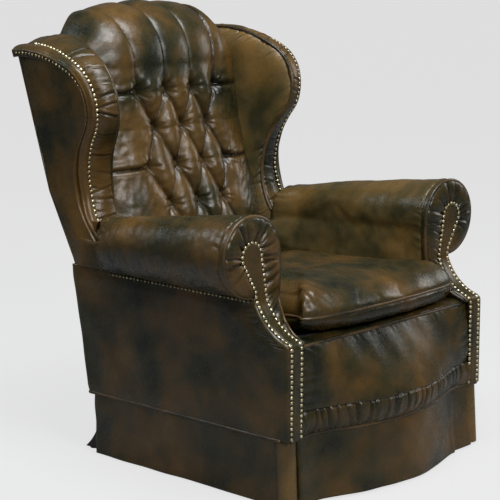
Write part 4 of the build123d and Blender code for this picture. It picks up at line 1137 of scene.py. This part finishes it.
def make_outside_arm(side):
    """Outside panel of an arm, rounded onto the front face beside the strip."""
    seed = arm_seeds[side]
    below = (facing_points[:, 1] < crease_z) & (facing_points[:, 1] > skirt_top_z)
    z = evenly(facing_points[below], 190)[:, 1]
    z[0], z[-1] = crease_z, skirt_top_z
    bend = 8.5
    rounds = [(347.3, 0.5), (350.0, 2.6)]
    for angle in np.linspace(0, pi / 2, 8):
        rounds.append((352 + bend * np.sin(angle), 2.8 - bend * (1 - np.cos(angle))))
    columns = [on_facing(np.full(len(z), x), z, height) for x, height in rounds]
    corner = columns[-1]
    rear = np.stack([np.full(len(z), 360.5), back_y(z) - 1, z], 1)
    shares = np.linspace(0, 1, 120)[1:] ** 1.2
    panel, gap = ruled(corner, rear, shares), widths(corner, rear, shares)
    from_top = crease_z - panel[..., 2]
    line_run = spread(np.linspace(0, 330, len(z)), shares)
    pull = smooth((z - 345) / 30)[:, None]
    fold = gathers(line_run, gap, 15, 2.6, 3.2, 46, seed + 8, 0.5) * pull
    fold += gathers(panel[..., 1], from_top, 34, 1.4, 6, 40, seed + 9, 0.3) * 0.8
    puff = 3.2 * smooth(gap / 70) * smooth(from_top / 40 + 0.15) * smooth((panel[..., 2] - 150) / 30)
    high = turned_edge(from_top + 1.5, 7) * (1 - smooth((panel[..., 1] - 100) / 40))
    panel[..., 0] += puff + fold + high + lumps(panel, 110, seed + 10) * smooth(gap / 40)
    front = np.concatenate([np.stack(columns, 1), panel], 1)
    # Painted shade at the panel's edge beside the strip and in its gathers
    seen = np.zeros(front.shape[:2])
    seen[:, :1] = 0.6
    seen[:, len(columns):] = in_folds(fold) * 0.45
    rear_first = on_facing(np.full(len(z), 349.0), z, -11.0)
    side_pad(side, "outside_arm", front, rear_first, rear - [7, 0, 0], seen)


def make_arm_pad(side):
    """Padded roll and inner wall of an arm."""
    seed = arm_seeds[side]
    turn = turns[side]
    pad = stuffed(f"{side}_arm_pad_leather", f"{side}_arm_pad", 0.0045, 14)
    points = points_of(pad)
    ways = outward(pad)
    right_points = turn(points)
    way_out = turn([1, 0, 0])[0]
    roll = smooth((right_points[:, 2] - 440) / 40)
    swell = 1.2 + 1.3 * lumps(right_points * [1, 0.45, 1], 75, seed + 12) * roll
    swell += 0.45 * lumps(right_points, 30, seed + 13)
    around = np.arctan2(right_points[:, 2] - 540, right_points[:, 0] - 358) * 75
    to_front = right_points[:, 1] - (facing_y + facing_depth)
    to_rear = 205 - right_points[:, 1]
    fold = gathers(around, np.clip(to_front, 0, None), 19, 1.8, 2.6, 42, seed + 14, 0.25) * roll
    fold += gathers(around, np.clip(to_rear, 0, None), 17, 3.0, 3.4, 46, seed + 15, 0.3) * roll
    points = points + ways * (swell + fold)[:, None]
    full = np.interp(right_points[:, 1], (188, 203, 212), (1, 60 / 52, 54 / 36))
    blunt = 1 + (full - 1) * smooth((right_points[:, 2] - 456) / 30)
    for axis, middle in ((0, 356 * way_out), (2, 540)):
        points[:, axis] = middle + (points[:, axis] - middle) * blunt
    drawn = smooth((right_points[:, 0] - 326) / 70) * smooth((right_points[:, 2] - 440) / 30)
    points[:, 1] -= drawn * 0.46 * np.clip(right_points[:, 1] - 60, 0, None)
    flared = smooth((right_points[:, 1] - 125) / 70) * smooth((345 - right_points[:, 0]) / 40)
    flared = flared * smooth((right_points[:, 2] - 430) / 40)
    points[:, 0] -= 27 * way_out * flared
    place_points(pad, points)
    # Painted shade in the gathers of the roll
    paint_crease_shade(pad.data, in_folds(fold) * 0.55)
    dress(pad, "chair", [f"{side}_arm_pad"], pad_hides[side])


def strip_nails(side):
    """Row of nails round the strip, and their directions."""
    outline = np.concatenate(
        [
            lined((347, 163), (347, 425), 59),
            lined((347, 425), (353, 480), 19),
            lined((353, 480), (388, 541), 19),
            round_points(strip_head, strip_head_radius, np.linspace(-41, 189, 60))[:-1],
            lined((334, 556), (320, 480), 19),
            lined((320, 480), (314, 425), 19),
            np.linspace((314, 425), (314, 163), 60),
        ]
    )
    row = on_facing(outline[:, 0], outline[:, 1], 2.4)
    way = on_facing(outline[:, 0], outline[:, 1], 3.4) - row
    return turns[side](row), turns[side](way)


for side in turns:
    make_arm_strip(side)
    make_arm_ruche(side)
    make_arm_cord(side)
    make_outside_arm(side)
    make_arm_pad(side)
    nail_rows.append(strip_nails(side))


# Outside back and the cord along its crest
def crest_line(count):
    """Top edge of the back seen from behind: low beside the flutes, bowed over them."""
    bow = arc((-crest_half, crest_z), (0, 1062), (crest_half, crest_z), 4 * count)
    x = np.linspace(-crest_half, crest_half, count)
    whole = np.interp(x, bow[:, 0], bow[:, 1])
    beside = smooth((np.abs(x) - 150) / 130)
    return np.stack([x, between(whole, crest_z + 0.25 * (whole - crest_z), beside)], 1)


def make_outside_back():
    """Leather stretched over the back, bent at the arm's height and bowed over the crest."""
    crest = crest_line(121)
    shares = np.linspace(-1, 1, 121)
    levels = np.array(((skirt_top_z, 352), (back_bend_z, 353), (640, 383), (crest_z, crest_half)))
    up = np.linspace(0, 1, 150)
    top = np.interp(shares * crest_half, crest[:, 0], crest[:, 1])
    z = skirt_top_z + (top[None] - skirt_top_z) * up[:, None]
    half = np.interp(z, levels[:, 0], levels[:, 1])
    x = shares[None] * half
    edge = np.minimum((1 - np.abs(shares))[None] * 370, (top[None] - z)) + 1.2
    puff = 5.5 * smooth(edge / 110) + turned_edge(edge, 7)
    place = np.stack([x, 0 * x, z], -1)
    puff += 1.2 * lumps(place, 160, 31) * smooth(edge / 60)
    puff += gathers(x, np.clip(top[None] - z, 0, None), 32, 1.3, 5, 45, 33, 0.2)
    front = np.stack([x, back_y(z) + puff, z], -1)
    back = sheet_piece("outside_back_leather", front, np.stack([x, back_y(z) - 5, z], -1))
    dress(back, "chair", ["outside_back"])
    line = crest_line(160)
    path = np.stack([line[:, 0], back_y(line[:, 1]) - 3, line[:, 1]], 1)
    sewn_cord("crest_cord", path, 4.5, "crest_piping")


make_outside_back()


# Seat front
def make_seat_front():
    """Padded border, its piping and the gathered band above the skirt."""
    x = np.linspace(-border_half, border_half, 210)
    z = np.linspace(362, 214, 64)
    grid_x, grid_z = np.meshgrid(x, z)
    down = (361 - grid_z) / 145
    y = between(-395, line_y(seam_line, grid_x), down)
    from_end = border_half - np.abs(grid_x)
    left_end = np.where(grid_x < 0, from_end, 400)
    right_end = np.where(grid_x > 0, from_end, 400)
    fold = gathers(grid_z + 0.25 * left_end, left_end, 30, 2.4, 5.5, 95, 201, 0.35)
    fold += gathers(grid_z + 0.25 * right_end, right_end, 32, 1.7, 5.5, 70, 202, 0.35)
    fold += gathers(grid_x, np.clip(grid_z - 216, 0, None), 27, 1.5, 3.0, 26, 203, 0.3)
    fold += gathers(grid_x, np.clip(361 - grid_z, 0, None), 33, 1.0, 4.5, 24, 204, 0.3)
    place = np.stack([grid_x, 0 * grid_x, grid_z], -1)
    edge = np.minimum(361 - grid_z, grid_z - 216) + 3
    puff = 8.5 * np.sin(pi * np.clip(down, 0, 1)) ** 0.6 + 1.6 * lumps(place, 90, 205) + fold
    puff += turned_edge(from_end + 2, 8) + 0.5 * turned_edge(np.clip(edge, 0, None), 8)
    front = np.stack([grid_x, y - puff, grid_z], -1)
    over = np.array(((-360, 371.5), (-369, 371.4), (-378, 370.5), (-386, 368), (-392, 365)))
    carried = np.stack([np.tile(x, (5, 1)), spread(over[:, 0], x), spread(over[:, 1], x)], -1)
    carried[..., 2] += 0.8 * lumps(carried, 60, 206) - 0.8
    front = np.concatenate([carried, front])
    rear = np.concatenate([over[:, 0] + 6, np.full(len(z), -374.0)])
    level = np.concatenate([over[:, 1] - 8, z])
    first = np.stack([np.full(len(rear), -border_half), np.maximum(rear, -374), level], 1)
    # Painted shade in the border's gathers
    seen = np.concatenate([np.zeros((5, 210)), in_folds(fold, 3.2) * 0.5])
    border = pad_piece("seat_border_leather", front, first, first * [-1, 1, 1], seen)
    dress(border, "chair", ["seat_border"])
    line = np.linspace(-296, 296, 90)
    path = np.stack([line, np.full(90, -395.0), np.full(90, 360.5) + 0.5 * np.sin(line / 37)], 1)
    sewn_cord("border_cord", path, 4.3, "border_piping")

    x = np.linspace(-border_half, border_half, 430)
    z = np.linspace(218, skirt_top_z, 30)
    grid_x, grid_z = np.meshgrid(x, z)
    down = (216 - grid_z) / 59
    y = between(line_y(seam_line, grid_x), line_y(band_foot_line, grid_x), np.clip(down, 0, 1))
    close = between(1.25, 0.5, smooth((grid_x + 20) / 210))
    close = close * between(0.75, 1, smooth((grid_x + 300) / 60))
    from_top, from_foot = np.clip(216 - grid_z, 0, None), np.clip(grid_z - skirt_top_z, 0, None)
    fold = gathers(grid_x, from_top, 24, 4.6, 3.4, 85, 211, 0.2)
    fold = (fold + gathers(grid_x, from_foot, 17, 3.0, 2.6, 34, 212, 0.3)) * close
    place = np.stack([grid_x, 0 * grid_x, grid_z], -1)
    edge = np.minimum(from_top, from_foot) + 1.5
    puff = 10 * np.sin(pi * np.clip(down, 0, 1)) ** 0.7 + fold
    puff = puff + turned_edge(edge, 7) * 0.7 + 0.8 * lumps(place, 45, 213)
    front = np.stack([grid_x, y - puff, grid_z], -1)
    first = np.stack([np.full(len(z), -border_half), np.full(len(z), -386), z], 1)
    # Painted shade in the gathers and under the border along the band's top
    seen = in_folds(fold) * 0.75 + bell(from_top, 2.5) * 0.7
    band = pad_piece("gathered_band_leather", front, first, first * [-1, 1, 1], seen)
    dress(band, "chair", ["gathered_band"])


make_seat_front()


# Skirt
def hang(piece, nodes_replaced, material=None):
    """Give a hanging sheet of leather its finish, in the place of the frame's own pieces."""
    dress(piece, "chair", nodes_replaced, material)


def joined(name, pieces):
    """One mesh from several."""
    whole = bmesh.new()
    for piece in pieces:
        whole.from_mesh(piece.data)
        bpy.data.objects.remove(piece)
    mesh = bpy.data.meshes.new(name)
    whole.to_mesh(mesh)
    whole.free()
    smooth_faces(mesh)
    return new_object(name, mesh)


def make_skirt():
    """Welt, front, side and back skirts, and the rounded inserts of the corner pleats."""
    front_line = evenly(serpentine(skirt_line), 260)
    front_line = np.column_stack([front_line, np.full(260, skirt_top_z)])
    welts = [cord_piece("welt_front", front_line, 4.2)]
    for way in (1, -1):
        y = np.linspace(-388, 228, 80)
        line = np.stack([np.full(80, way * side_x), y, np.full(80, skirt_top_z)], 1)
        welts.append(cord_piece("welt_side", line, 4.2))
    dress(joined("skirt_welt_cord", welts), "chair", ["skirt_welt"], cord_hide)

    # Front
    share = np.linspace(-1, 1, 280)
    z = np.linspace(156, hem_z, 40)
    down = ((156 - z) / 150)[:, None]
    x = share[None] * between(317, 321, down)
    y = between(line_y(skirt_line, x), line_y(hem_line, x), down)
    edge = (1 - np.abs(share))[None] * 317
    level = z[:, None] + 0 * x
    sway = 2.6 * np.sin(x / 34 + 0.6) * bell(x + 40, 230) + 3.2 * bell(x - 232, 11)
    sway = sway + 1.6 * np.sin(x / 61 + 2.2) - 2.6 * bell(x - 248, 9)
    puff = sway * down**0.8 + lumps(np.stack([x, 0 * x, level], -1), 80, 221) + turned_edge(edge, 9)
    front = np.stack([x, y - puff, level], -1)
    piece = sheet_piece("front_skirt_leather", front, front + [0, sheet_leather, 0])
    hang(piece, ["front_skirt"])

    # Sides
    rear_end = 212
    for side, turn in turns.items():
        start = (-377 - 6 * down)[:, 0]
        y = start[:, None] + (rear_end - start)[:, None] * np.linspace(0, 1, 200)[None]
        level = z[:, None] + 0 * y
        from_front = y - start[:, None]
        place = np.stack([0 * y, y, level], -1)
        out = 1.4 * np.sin(y / 52 + (0.4 if side == "left" else 1.5)) * down + lumps(place, 90, 231)
        out = out + turned_edge(from_front + 0.3, 9) + turned_edge(rear_end - y + 1, 6) * 0.6
        front = np.stack([side_x + out, y, level], -1)
        rear = front - [sheet_leather, 0, 0]
        piece = sheet_piece(f"{side}_skirt_leather", turn(front), turn(rear))
        hang(piece, [f"{side}_skirt"])

    # Back
    x = np.linspace(-350, 350, 160)[None] + 0 * z[:, None]
    level = z[:, None] + 0 * x
    out = 1.3 * np.sin(x / 58) * down + 0.9 * lumps(np.stack([x, 0 * x, level], -1), 90, 241)
    front = np.stack([x, 181.5 + out, level], -1)
    piece = sheet_piece("back_skirt_leather", front, front - [0, sheet_leather, 0])
    hang(piece, ["back_skirt"])

    # Inserts of the corner pleats
    inserts = []
    rear_insert_y, rear_insert_run = 140.5, 36
    bulge = evenly(arc((352, -366), (345, -404), (314, -378), 60), 40)
    # Painted shade on the inserts' ends, where they turn in behind the skirts
    tucked_shade = np.linspace(-1, 1, 40)[None] ** 4 + 0 * z[:, None]
    for way in (1, -1):
        x = way * (bulge[:, 0] + 2 * down)
        y = bulge[:, 1] - 9 * down
        front = np.stack([x, y, level[:, :40]], -1)
        middle = np.array([way * 312, -362, 0])
        inward = (middle - front) * [1, 1, 0]
        inward /= np.linalg.norm(inward, axis=-1, keepdims=True) + 1e-6
        inserts.append(sheet_piece("insert", front, front + inward * sheet_leather, tucked_shade))
        run = np.linspace(rear_insert_y, rear_insert_y + rear_insert_run, 12)[None] + 0 * z[:, None]
        front = np.stack([np.full((40, 12), way * 355.0), run, level[:, :12]], -1)
        inserts.append(sheet_piece("insert", front, front - [way * sheet_leather, 0, 0]))
    piece = joined("skirt_insert_leather", inserts)
    hang(piece, ["skirt_inserts"], pleat_hide)


make_skirt()


# Loose cushion
deck_lean = atan2(372 - 346, 150 + 362)
deck_origin = np.array([0, -362, 372.3])
deck_up = np.array([0, sin(deck_lean), cos(deck_lean)])
deck_along = np.array([0, cos(deck_lean), -sin(deck_lean)])
welt_height = 43


def cushion_outline():
    """Plan of the cushion, eared round the arms and bowed in front: x and run along the deck."""
    half = [(293, -402), (293, -391), (283, -386), (262, -350), (262, 116), (252, 126)]
    front = arc((-283, -402), (0, -424), (283, -402), 80)
    right = np.array(half, float)
    left = right[::-1] * [-1, 1]
    outline = np.concatenate([front, right, left])
    return np.stack([outline[:, 0], outline[:, 1] - deck_origin[1]], 1)


def inflate(piece, limit):
    """Let the cushion's cover swell softly, no further than a limit."""
    before = points_of(piece)
    cloth = piece.modifiers.new("cloth", "CLOTH")
    cloth.settings.use_pressure = True
    cloth.settings.uniform_pressure_force = 4
    cloth.settings.effector_weights.gravity = 0
    cloth.settings.quality = 4
    scene = bpy.context.scene
    for moment in range(1, 15):
        scene.frame_set(moment)
    swollen = finished_mesh(piece)
    piece.modifiers.remove(cloth)
    after = np.zeros(len(swollen.vertices) * 3, np.float32)
    swollen.vertices.foreach_get("co", after)
    after = after.reshape(-1, 3) * 1000 - [0, depth_shift, 0]
    bpy.data.meshes.remove(swollen)
    scene.frame_set(1)
    moved = after - before
    length = np.linalg.norm(moved, axis=1, keepdims=True)
    moved *= np.minimum(1, limit / np.maximum(length, 1e-6))
    moved[:, 2] = np.maximum(moved[:, 2], np.where(before[:, 2] < 395, 0, -limit))
    place_points(piece, before + moved)


def round_corners(points):
    """Draw the cushion's front corners in to a soft round and lift them, the left one more."""
    middle_x, middle_run = 243, 10
    run = (points - deck_origin) @ deck_along
    aside = np.clip(np.abs(points[:, 0]) - middle_x, 0, None)
    ahead = np.clip(middle_run - run, 0, None)
    away = np.hypot(aside, ahead) + 1e-6
    share = np.where((aside > 0) & (ahead > 0), np.maximum(aside, ahead) / away, 1)
    change = (share - 1)[:, None]
    tuck = smooth((26 - (points - deck_origin) @ deck_up) / 26) * smooth((-run - 4) / 30)
    hump = np.exp(-(((np.abs(points[:, 0]) - 275) / 95) ** 2) - ((run + 35) / 90) ** 2)
    lift = np.where(points[:, 0] < 0, 17, 7) * hump
    drawn_in = np.sign(points[:, :1]) * aside[:, None] * change * [1, 0, 0]
    moved = points + drawn_in - ahead[:, None] * change * deck_along
    return moved + (15 * tuck)[:, None] * deck_along + lift[:, None] * deck_up


def make_cushion():
    """Plump cushion with a boxed side, its welt and the wrinkles of use."""
    cushion = stuffed("seat_cushion_leather", "seat_cushion", 0.005, 18)
    inflate(cushion, 7.0)
    points = round_corners(points_of(cushion))
    place_points(cushion, points)
    from_corner = np.hypot(np.abs(points[:, 0]) - 293, (points - deck_origin) @ deck_along + 40)
    relax(cushion, 40, smooth((92 - from_corner) / 60)[:, None], (0.5,))
    points = points_of(cushion)
    ways = outward(cushion)
    height = (points - deck_origin) @ deck_up
    depth = (points - deck_origin) @ deck_along
    top = smooth((height - 44) / 8)
    x = points[:, 0]
    to_front = np.clip(depth + 60, 0, None)
    side_gap = np.clip(285 - np.abs(x), 0, None)
    swell = top * (2.2 * lumps(points, 130, 301) + 0.7 * lumps(points, 60, 302))
    fold = gathers(x, 70 - to_front, 34, 1.8, 6.0, 70, 303, 0.4)
    fold = fold * between(0.5, 1.6, smooth((-x - 60) / 120)) * top
    fold += gathers(depth, side_gap, 32, 1.8, 5.0, 52, 304, 0.5) * top
    fold += gathers(x + depth, np.hypot(x + 285, depth + 45), 27, 1.5, 5.6, 120, 305, 0.2) * top
    sides = smooth((height - 4) / 6) * smooth((42 - height) / 6)
    swell += 3.0 * sides + 0.8 * lumps(points, 50, 306) * sides
    seam = bell(height - welt_height, 3.6) + 0.8 * bell(height - 2, 3.2)
    swell += fold - 2.6 * seam
    rest = smooth((height + 0.2) / 3)
    place_points(cushion, points + ways * (swell * rest)[:, None])
    # Painted shade on the front of the cushion's boxed side and in its folds; darker along its seams
    # too
    shaded = 0.5 * sides * smooth((-depth + 10) / 20)
    paint_crease_shade(cushion.data, in_folds(fold) * 0.45 + 0.5 * seam + shaded)
    dress(cushion, "cushion", ["seat_cushion"])

    outline = cushion_outline()
    outline = evenly(np.concatenate([outline, outline[:1]]), 361)[:-1]
    flat = np.roll(outline, 1, 0) * 0.25 + outline * 0.5 + np.roll(outline, -1, 0) * 0.25
    path = deck_origin + flat[:, :1] * [1, 0, 0] + flat[:, 1:] * deck_along + welt_height * deck_up
    tree = cushion_tree(cushion)
    centre = deck_origin + deck_along * 213 + deck_up * welt_height
    placed = []
    for spot in path:
        way = (spot - centre) / np.linalg.norm(spot - centre)
        hit = tree.ray_cast(Vector(to_metres(spot + way * 60)), Vector(-way), 0.2)
        hit_spot = np.array(hit[0]) * 1000 - [0, depth_shift, 0] if hit[0] is not None else spot
        placed.append(hit_spot + way * 0.6)
    placed = np.array(placed)
    for _ in range(4):
        placed = 0.25 * np.roll(placed, 1, 0) + 0.5 * placed + 0.25 * np.roll(placed, -1, 0)
    welt = cord_piece("cushion_cord", placed, 3.6, closed=True)
    dress(welt, "cushion", ["cushion_welt"], cord_hide)


def cushion_tree(piece):
    """Search tree on a piece's faces."""
    mesh = piece.data
    corners = [vertex.co.copy() for vertex in mesh.vertices]
    return BVHTree.FromPolygons(corners, [tuple(polygon.vertices) for polygon in mesh.polygons])


make_cushion()


# Brass nails, set by Geometry Nodes along their rows
def nail_tree(metal):
    """Rows of domed nails: resampled by their pitch and turned to face out of the leather."""
    tree = bpy.data.node_groups.new("brass_nails", "GeometryNodeTree")
    sockets = {}
    interface = tree.interface
    interface.new_socket("Rows", in_out="INPUT", socket_type="NodeSocketGeometry")
    for name, value in (("Pitch", nail_pitch), ("Head radius", 0.0045), ("Dome share", nail_dome)):
        socket = interface.new_socket(name, in_out="INPUT", socket_type="NodeSocketFloat")
        socket.default_value = value
        sockets[name] = socket.identifier
    interface.new_socket("Nails", in_out="OUTPUT", socket_type="NodeSocketGeometry")
    nodes, links = tree.nodes, tree.links
    start = nodes.new("NodeGroupInput")
    end = nodes.new("NodeGroupOutput")
    curve = nodes.new("GeometryNodeMeshToCurve")
    spaced = nodes.new("GeometryNodeResampleCurve")
    spaced.mode = "LENGTH"
    facing = nodes.new("GeometryNodeInputNamedAttribute")
    facing.data_type = "FLOAT_VECTOR"
    facing.inputs["Name"].default_value = "facing"
    turned = nodes.new("FunctionNodeAlignRotationToVector")
    turned.axis = "Z"
    ball = nodes.new("GeometryNodeMeshUVSphere")
    set_inputs(ball, {"Segments": 10, "Rings": 6})
    shape = nodes.new("ShaderNodeCombineXYZ")
    wobble = nodes.new("FunctionNodeRandomValue")
    wobble.data_type = "FLOAT"
    wobble.inputs[2].default_value = 0.93
    wobble.inputs[3].default_value = 1.05
    wobble.inputs["Seed"].default_value = 7
    flatten = nodes.new("GeometryNodeTransform")
    heads = nodes.new("GeometryNodeInstanceOnPoints")
    real = nodes.new("GeometryNodeRealizeInstances")
    shade = nodes.new("GeometryNodeSetShadeSmooth")
    finish = nodes.new("GeometryNodeSetMaterial")
    finish.inputs["Material"].default_value = metal
    links.new(start.outputs["Rows"], curve.inputs["Mesh"])
    links.new(curve.outputs["Curve"], spaced.inputs["Curve"])
    links.new(start.outputs["Pitch"], spaced.inputs["Length"])
    links.new(start.outputs["Head radius"], ball.inputs["Radius"])
    set_inputs(shape, {"X": 1, "Y": 1})
    links.new(start.outputs["Dome share"], shape.inputs["Z"])
    links.new(ball.outputs["Mesh"], flatten.inputs["Geometry"])
    links.new(shape.outputs["Vector"], flatten.inputs["Scale"])
    links.new(facing.outputs["Attribute"], turned.inputs["Vector"])
    links.new(spaced.outputs["Curve"], heads.inputs["Points"])
    links.new(flatten.outputs["Geometry"], heads.inputs["Instance"])
    links.new(turned.outputs["Rotation"], heads.inputs["Rotation"])
    links.new(wobble.outputs[1], heads.inputs["Scale"])
    links.new(heads.outputs["Instances"], real.inputs["Geometry"])
    links.new(real.outputs["Geometry"], shade.inputs["Geometry"])
    links.new(shade.outputs["Geometry"], finish.inputs["Geometry"])
    links.new(finish.outputs["Geometry"], end.inputs["Nails"])
    return tree, sockets


def make_nails(name, rows, radius, metal):
    """Drive the nails along some rows of the chair."""
    points, edges, ways = [], [], []
    for line, way in rows:
        first = len(points)
        points += to_metres(line).tolist()
        ways += (np.asarray(way) / np.linalg.norm(way, axis=1, keepdims=True)).tolist()
        edges += [(first + step, first + step + 1) for step in range(len(line) - 1)]
    mesh = bpy.data.meshes.new(name + "_lines")
    mesh.from_pydata(points, edges, [])
    layer = mesh.attributes.new("facing", "FLOAT_VECTOR", "POINT")
    layer.data.foreach_set("vector", np.array(ways, np.float32).ravel())
    lines = new_object(name + "_lines", mesh)
    tree, sockets = nail_tree(metal)
    modifier = lines.modifiers.new("nails", "NODES")
    modifier.node_group = tree
    modifier[sockets["Pitch"]] = nail_pitch
    modifier[sockets["Head radius"]] = radius
    modifier[sockets["Dome share"]] = nail_dome
    shape = finished_mesh(lines)
    lines.modifiers.remove(modifier)
    bpy.data.objects.remove(lines)
    shape.name = name
    nails = new_object(name, shape)
    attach(nails, "chair")


make_nails("brass_nails", nail_rows, 0.0045, brass)
make_nails("edge_nails", edge_rows, 0.0036, shaded_brass)


# Finishes of the frame's own pieces
wood_pieces = ("rail", "post", "board", "stretcher", "blocks", "legs")
for name, node in cad.items():
    if node.hide_render:
        continue
    if name in ("left_back_post", "right_back_post", "front_legs"):
        finish = leg_wood
    elif name.endswith("wing_board"):
        # The board's foot shows from above between wing and arm, so it has the leather's finish
        finish = hide
    elif name.endswith(wood_pieces):
        finish = beech
    elif name.endswith("webbing"):
        finish = webbing_cloth
    elif name in ("seat_deck", "dust_cover"):
        finish = lining_cloth
    elif name == "foot_glides":
        finish = glide_finish
    else:
        finish = hide
    node.data.materials.clear()
    node.data.materials.append(finish)


# Floor, light and camera
def make_stage():
    """Pale floor under the chair."""
    mesh = bpy.data.meshes.new("floor")
    mesh.from_pydata([(-30, -30, 0), (30, -30, 0), (30, 30, 0), (-30, 30, 0)], [], [(0, 1, 2, 3)])
    floor = new_object("floor", mesh)
    material, nodes, links, shader = new_material("pale_floor")
    grey = (0.34, 0.34, 0.34, 1)
    set_inputs(shader, {"Base Color": grey, "Roughness": 0.9, "Specular IOR Level": 0.1})
    white = nodes.new("ShaderNodeEmission")
    set_inputs(white, {"Color": (1, 1, 1, 1), "Strength": 1})
    path = nodes.new("ShaderNodeLightPath")
    share = sum_of(nodes, links, "MULTIPLY", path.outputs["Is Camera Ray"], 0.72)
    mix = nodes.new("ShaderNodeMixShader")
    links.new(share, mix.inputs["Fac"])
    links.new(shader.outputs["BSDF"], mix.inputs[1])
    links.new(white.outputs["Emission"], mix.inputs[2])
    links.new(mix.outputs["Shader"], nodes["Material Output"].inputs["Surface"])
    mesh.materials.append(material)


def aim(thing, place, target):
    """Put a lamp or the camera at a place, turned to a target."""
    thing.location = place
    thing.rotation_euler = (Vector(target) - Vector(place)).to_track_quat("-Z", "Y").to_euler()


def make_lamp(name, place, target, size, power, colour):
    """Large soft lamp aimed at a point."""
    data = bpy.data.lights.new(name, "AREA")
    data.shape = "RECTANGLE"
    data.size, data.size_y = size
    data.energy = power
    data.color = colour
    aim(new_object(name, data), place, target)


def make_light():
    """Soft overhead light, a key from the front left and a pale surrounding."""
    make_lamp("overhead", (-0.3, -0.5, 3.1), (0, 0, 0.6), (1.4, 1.0), 72, (0.95, 0.98, 1.0))
    make_lamp("key", (-1.2, -3.3, 2.7), (0, 0, 0.6), (1.0, 1.0), 74, (1.0, 0.99, 0.97))
    make_lamp("window", (-2.0, 2.1, 2.9), (0, 0, 0.7), (1.3, 0.8), 26, (0.80, 0.92, 1.0))
    make_lamp("fill", (3.3, -1.0, 1.8), (0, 0, 0.5), (1.3, 1.3), 20, (1.0, 0.99, 0.97))
    world = bpy.data.worlds.new("surrounding")
    bpy.context.scene.world = world
    world.use_nodes = True
    nodes, links = world.node_tree.nodes, world.node_tree.links
    soft = nodes["Background"]
    set_inputs(soft, {"Color": (0.93, 0.96, 1.0, 1), "Strength": 0.14})
    seen = nodes.new("ShaderNodeBackground")
    set_inputs(seen, {"Color": (1, 1, 1, 1), "Strength": 1})
    path = nodes.new("ShaderNodeLightPath")
    mix = nodes.new("ShaderNodeMixShader")
    links.new(path.outputs["Is Camera Ray"], mix.inputs["Fac"])
    links.new(soft.outputs["Background"], mix.inputs[1])
    links.new(seen.outputs["Background"], mix.inputs[2])
    links.new(mix.outputs["Shader"], nodes["World Output"].inputs["Surface"])


def make_camera():
    """Camera at the photographed viewpoint."""
    data = bpy.data.cameras.new("camera")
    data.sensor_width = 36
    data.lens = 129.74
    camera = new_object("camera", data)
    aim(camera, (-3.211, -2.915, 1.317), (-0.0893, -0.046, 0.5041))
    bpy.context.scene.camera = camera


make_stage()
make_light()
make_camera()
bpy.context.scene.view_settings.view_transform = "Standard"
